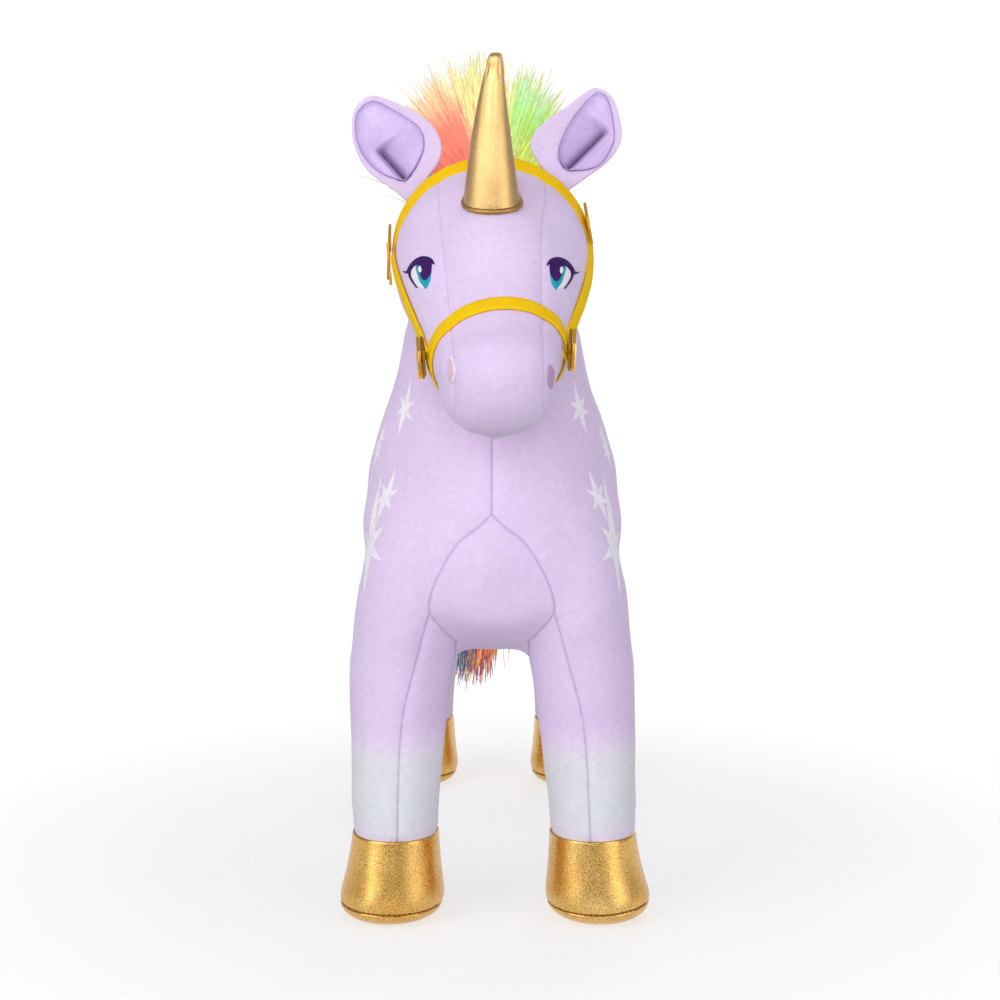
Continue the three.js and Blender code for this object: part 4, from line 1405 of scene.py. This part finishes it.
# painted highlight: a pale band along one edge of the lit right nostril
noseHighlightThread = makeThread("noseHighlightThread", (0.93, 0.84, 0.90, 1), 90)
made = threadBand("nostril_highlight_right", nosePlan["edge"], nosePlan["edgeWidths"], nosePlan["centre"]["right"],
                  sideSigns["right"], nosePlan["lift"] * 1.6, noseHighlightThread)
settle(made, "head", "nose_thread")
print("stage: embroidery")


# long pile
def makeFur():
    material, tree, shader = startMaterial("longPile", Roughness=0.62, Sheen_Weight=0.25)
    shader.inputs["Specular IOR Level"].default_value = 0.3
    tint = addNode(tree, "Attribute", attribute_name="tint").outputs["Color"]
    coords = addNode(tree, "TexCoord").outputs["Object"]
    streak = ramp(tree, noiseAt(tree, coords, 500, 2), [(0.3, grey(0.85)), (0.7, grey(1.1))])
    color = blendColors(tree, 1.0, tint, streak, "MULTIPLY")
    tree.links.new(color, shader.inputs["Base Color"])
    # the pile is lit as one soft mass rather than strand by strand
    own = addNode(tree, "VectorMath", {0: addNode(tree, "NewGeometry").outputs["Normal"], 1: (0.5, 0.5, 0.5)},
                  operation="MULTIPLY")
    lifted = addNode(tree, "VectorMath", {0: own.outputs[0], 1: (0, -0.12, 0.5)}, operation="ADD")
    soft = addNode(tree, "VectorMath", {0: lifted.outputs[0]}, operation="NORMALIZE")
    tree.links.new(soft.outputs[0], shader.inputs["Normal"])
    glow = addNode(tree, "BsdfTranslucent", {"Color": color})
    both = addNode(tree, "MixShader", {0: 0.38, 1: shader.outputs[0], 2: glow.outputs[0]})
    tree.links.new(color, shader.inputs["Emission Color"])
    shader.inputs["Emission Strength"].default_value = 0.34  # painted glow: the pile gives off a little light in its own colour, standing in for light passed from strand to strand
    output = next(n for n in tree.nodes if n.type == "OUTPUT_MATERIAL")
    tree.links.new(both.outputs[0], output.inputs["Surface"])
    return material


fur = makeFur()
furColors = {
    "rose": (0.88, 0.16, 0.22),
    "coral": (0.97, 0.36, 0.27),
    "peach": (0.98, 0.60, 0.40),
    "cream": (0.92, 0.84, 0.52),
    "lemon": (0.84, 0.86, 0.32),
    "lime": (0.58, 0.80, 0.19),
    "mint": (0.60, 0.86, 0.40),
    "aqua": (0.50, 0.84, 0.76),
    "teal": (0.03, 0.33, 0.40),
    "blue": (0.05, 0.28, 0.52),
    "green": (0.03, 0.28, 0.16),
    "violet": (0.26, 0.08, 0.36),
    "crimson": (0.72, 0.06, 0.14),
    "orange": (0.95, 0.36, 0.07),
    "yellow": (0.95, 0.74, 0.22),
}


def mixed(stops, at):
    for (a, p), (b, q) in zip(stops, stops[1:]):
        if at <= b:
            t = max(0.0, min(1.0, (at - a) / (b - a)))
            return [u + (v - u) * t for u, v in zip(furColors[p], furColors[q])]
    return list(furColors[stops[-1][1]])


def strands(name, hairs, sides=3):
    verts, faces, tints = [], [], []
    for path, width, shade in hairs:
        base = len(verts)
        last = len(path) - 1
        radii = [width * mm * (1 - 0.6 * (i / last) ** 2.2) for i in range(last + 1)]
        for i, ring in enumerate(tubeRings(path, radii, sides)):
            verts += ring
            tints += [c for _ in range(sides) for c in (*shade(i / last), 1.0)]
        for i in range(last):
            for k in range(sides):
                m = (k + 1) % sides
                a, b = base + i * sides, base + (i + 1) * sides
                faces.append((a + k, a + m, b + m, b + k))
        faces.append(tuple(base + k for k in range(sides - 1, -1, -1)))
        faces.append(tuple(base + last * sides + k for k in range(sides)))
    mesh = bpy.data.meshes.new(name)
    mesh.from_pydata(verts, [], faces)
    layer = mesh.color_attributes.new("tint", "FLOAT_COLOR", "POINT")
    layer.data.foreach_set("color", tints)
    mesh.materials.append(fur)
    for face in mesh.polygons:
        face.use_smooth = len(face.vertices) == 4
    made = meshObject(name, mesh)
    made.visible_shadow = False  # fine fur lets the light through
    return made


def hair(dice, root, heading, length, droop, sway, segments=5):
    # one strand: it starts along heading and bends by droop, with a little waver
    path, p, way = [], root.copy(), heading.normalized()
    bend = Vector((dice.gauss(0, sway), dice.gauss(0, sway), 0)) + droop
    for i in range(segments + 1):
        path.append(p.copy())
        p += way * length / segments
        way = (way + bend / segments).normalized()
    return path


furPlan = {
    "tuft": {"count": 5600, "root": Vector((0, -86, 317)), "spread": (14, 15), "length": (40, 53)},
    "crest": {"count": 3600, "length": (26, 38),
              "line": [(-76, 325), (-52, 306), (-40, 283), (-34, 262), (-22, 240), (-4, 224), (14, 214)],
              "colors": ["rose", "coral", "orange", "yellow", "lime", "mint", "aqua", "blue"]},
    "tail": {"count": 2600, "root": Vector((-2, 170.5, 203)), "length": (116, 158), "lowest": 38,
             "colors": ["green", "teal", "blue", "violet", "crimson", "orange", "yellow"]},
}


def tuftHairs():
    dice = random.Random(7)
    plan = furPlan["tuft"]
    clumps = []
    for _ in range(190):
        fan = dice.uniform(-63, 53)
        tilt = dice.uniform(-6 if abs(fan) < 26 else 6, 46)
        clumps.append((fan, tilt, dice.uniform(*plan["length"]), dice.gauss(0, 0.08)))
    hairs = []
    for i in range(plan["count"]):
        fan, tilt, length, hue = clumps[i % len(clumps)]
        fan *= 1 - 0.45 * max(0.0, tilt - 8) / 38
        fan += dice.gauss(0, 3.2)
        tilt += dice.gauss(0, 3)
        share = fan / 56
        x = plan["root"].x + plan["spread"][0] * share + dice.uniform(-2.5, 2.5)
        y = plan["root"].y + max(0, tilt) * 0.62 + dice.uniform(-2, 3)
        top = onSkin(Vector((x, y, 380)) * mm, (0, 0, -1))[0]
        root = Vector((x * mm, y * mm, (top.z if top else 0.317) - 2 * mm))
        a, b = math.radians(fan), math.radians(tilt)
        heading = Vector((math.sin(a), math.sin(b) * 0.9 * math.cos(a), math.cos(a) * math.cos(b)))
        reach = length * (1 - (0.03 if share < 0 else 0.26) * abs(share) ** 1.5) * dice.uniform(0.86, 1.04)
        path = hair(dice, root, heading, reach * mm, Vector((share * 0.2, 0.05, -0.1)), 0.15)
        at = share + hue
        if at < -0.28:
            stops = [(0, "rose"), (0.3, "coral"), (0.6, "coral" if at > -0.7 else "peach"), (0.82, "peach"),
                     (1, "cream")]
        elif at < 0.16:
            stops = [(0, "coral" if at < -0.14 else "lemon"), (0.3, "peach" if at < -0.1 else "lemon"),
                     (0.5, "cream"), (1, "lemon" if dice.random() < 0.5 else "cream")]
        elif at < 0.5 and dice.random() < 0.25:
            stops = [(0, "lime"), (0.5, "mint"), (1, "aqua")]
        else:
            stops = [(0, "lime"), (0.3, "lemon"), (0.6, "lime"), (0.8, "mint"), (1, "lemon")]
        bright = dice.uniform(0.9, 1.12)
        hairs.append((path, dice.uniform(0.3, 0.46),
                      lambda t, s=stops, k=bright: [min(1, c * k) for c in mixed(s, t)]))
    return hairs


def crestHairs():
    # the mane down the back of the neck: it stands up behind the poll and falls to both sides lower down
    dice = random.Random(11)
    spine = curvePoints([(0, y, z) for y, z in furPlan["crest"]["line"]], 20)
    rainbow = furPlan["crest"]["colors"]
    hairs = {"head": [], "trunk": []}
    for i in range(furPlan["crest"]["count"]):
        t = dice.random() ** 0.9
        at = spine[min(len(spine) - 1, int(t * (len(spine) - 1)))]
        side = dice.uniform(-1, 1)
        x = side * 9
        behind = Vector((x, at.y + 60, at.z + 45)) * mm
        hit = onSkin(behind, Vector((0, -0.8, -0.6)))[0]
        root = (hit if hit else at * mm) + Vector((0, -1.2, -1.0)) * mm
        heading = Vector((side * (0.3 + 0.35 * t), 0.85 - 0.2 * t, 0.6 - 0.1 * t))
        length = dice.uniform(*furPlan["crest"]["length"]) * (1 - 0.25 * t)
        path = hair(dice, root, heading, length * mm, Vector((side * 0.2, 0.15, -0.9)), 0.14)
        k = t * (len(rainbow) - 1.01) + dice.gauss(0, 0.25)
        k = max(0, min(len(rainbow) - 2, k))
        first, second = rainbow[int(k)], rainbow[int(k) + 1]
        bright = dice.uniform(0.85, 1.12)
        hue = mixed([(0, first), (1, second)], k - int(k))
        shade = lambda s, c=hue, b=bright: [min(1, v * b * (0.75 + 0.35 * s) + 0.12 * s) for v in c]
        cut = 0.965 * (root.z / mm - 246) - 0.261 * (root.y / mm + 85.5)
        hairs["head" if cut > 0 else "trunk"].append((path, dice.uniform(0.3, 0.44), shade))
    return hairs


def tailHairs():
    dice = random.Random(23)
    plan = furPlan["tail"]
    rings = plan["colors"]
    hairs = []
    for i in range(plan["count"]):
        around = dice.uniform(0, 2 * math.pi)
        out = dice.random() ** 0.6
        side, back = math.cos(around) * out, math.sin(around) * out
        root = (plan["root"] + Vector((side * 6, back * 2.2 + 1.5, dice.uniform(-8, 2)))) * mm
        length = dice.uniform(*plan["length"]) * (1 - 0.1 * out)
        path = [root.copy()]
        p = root.copy()
        way = Vector((side * 0.27 - 0.06, 0.42 + back * 0.25, -1)).normalized()
        for k in range(8):
            p = p + way * length * mm / 8
            turn = Vector((-side * 0.07 - 0.012 + dice.gauss(0, 0.03), -0.085 + dice.gauss(0, 0.02), -0.05))
            way = (way + turn).normalized()
            path.append(p.copy())
        if any(q.z < plan["lowest"] * mm for q in path):
            path = [q for q in path if q.z > plan["lowest"] * mm]
        band = (side * 0.5 + 0.5) * 6 + dice.gauss(0, 0.45)
        band = max(0, min(5.99, band))
        tip = dice.random()
        hue = [rings[int(band)], rings[int(band) + 1]]
        stops = [(0, hue[0]), (0.7, hue[0]), (0.9, hue[1]), (1, "yellow" if tip < 0.3 else hue[1])]
        bright = dice.uniform(0.9, 1.3)
        width = dice.uniform(0.38, 0.55)
        hairs.append((path, width, lambda t, s=stops, k=bright: [c * k for c in mixed(s, t)]))
    return hairs


tuft = strands("mane_tuft", tuftHairs())
settle(tuft, "head", "mane_pile", "forelock")
crest = crestHairs()
upper = strands("mane_upper", crest["head"])
settle(upper, "head", "mane_pile")
lower = strands("mane_lower", crest["trunk"])
settle(lower, "trunk", "mane_pile", "neck_mane")
tailFur = strands("tail_strands", tailHairs())
settle(tailFur, "tail", "tail_pile", "tail_fur")
print("stage: long pile")
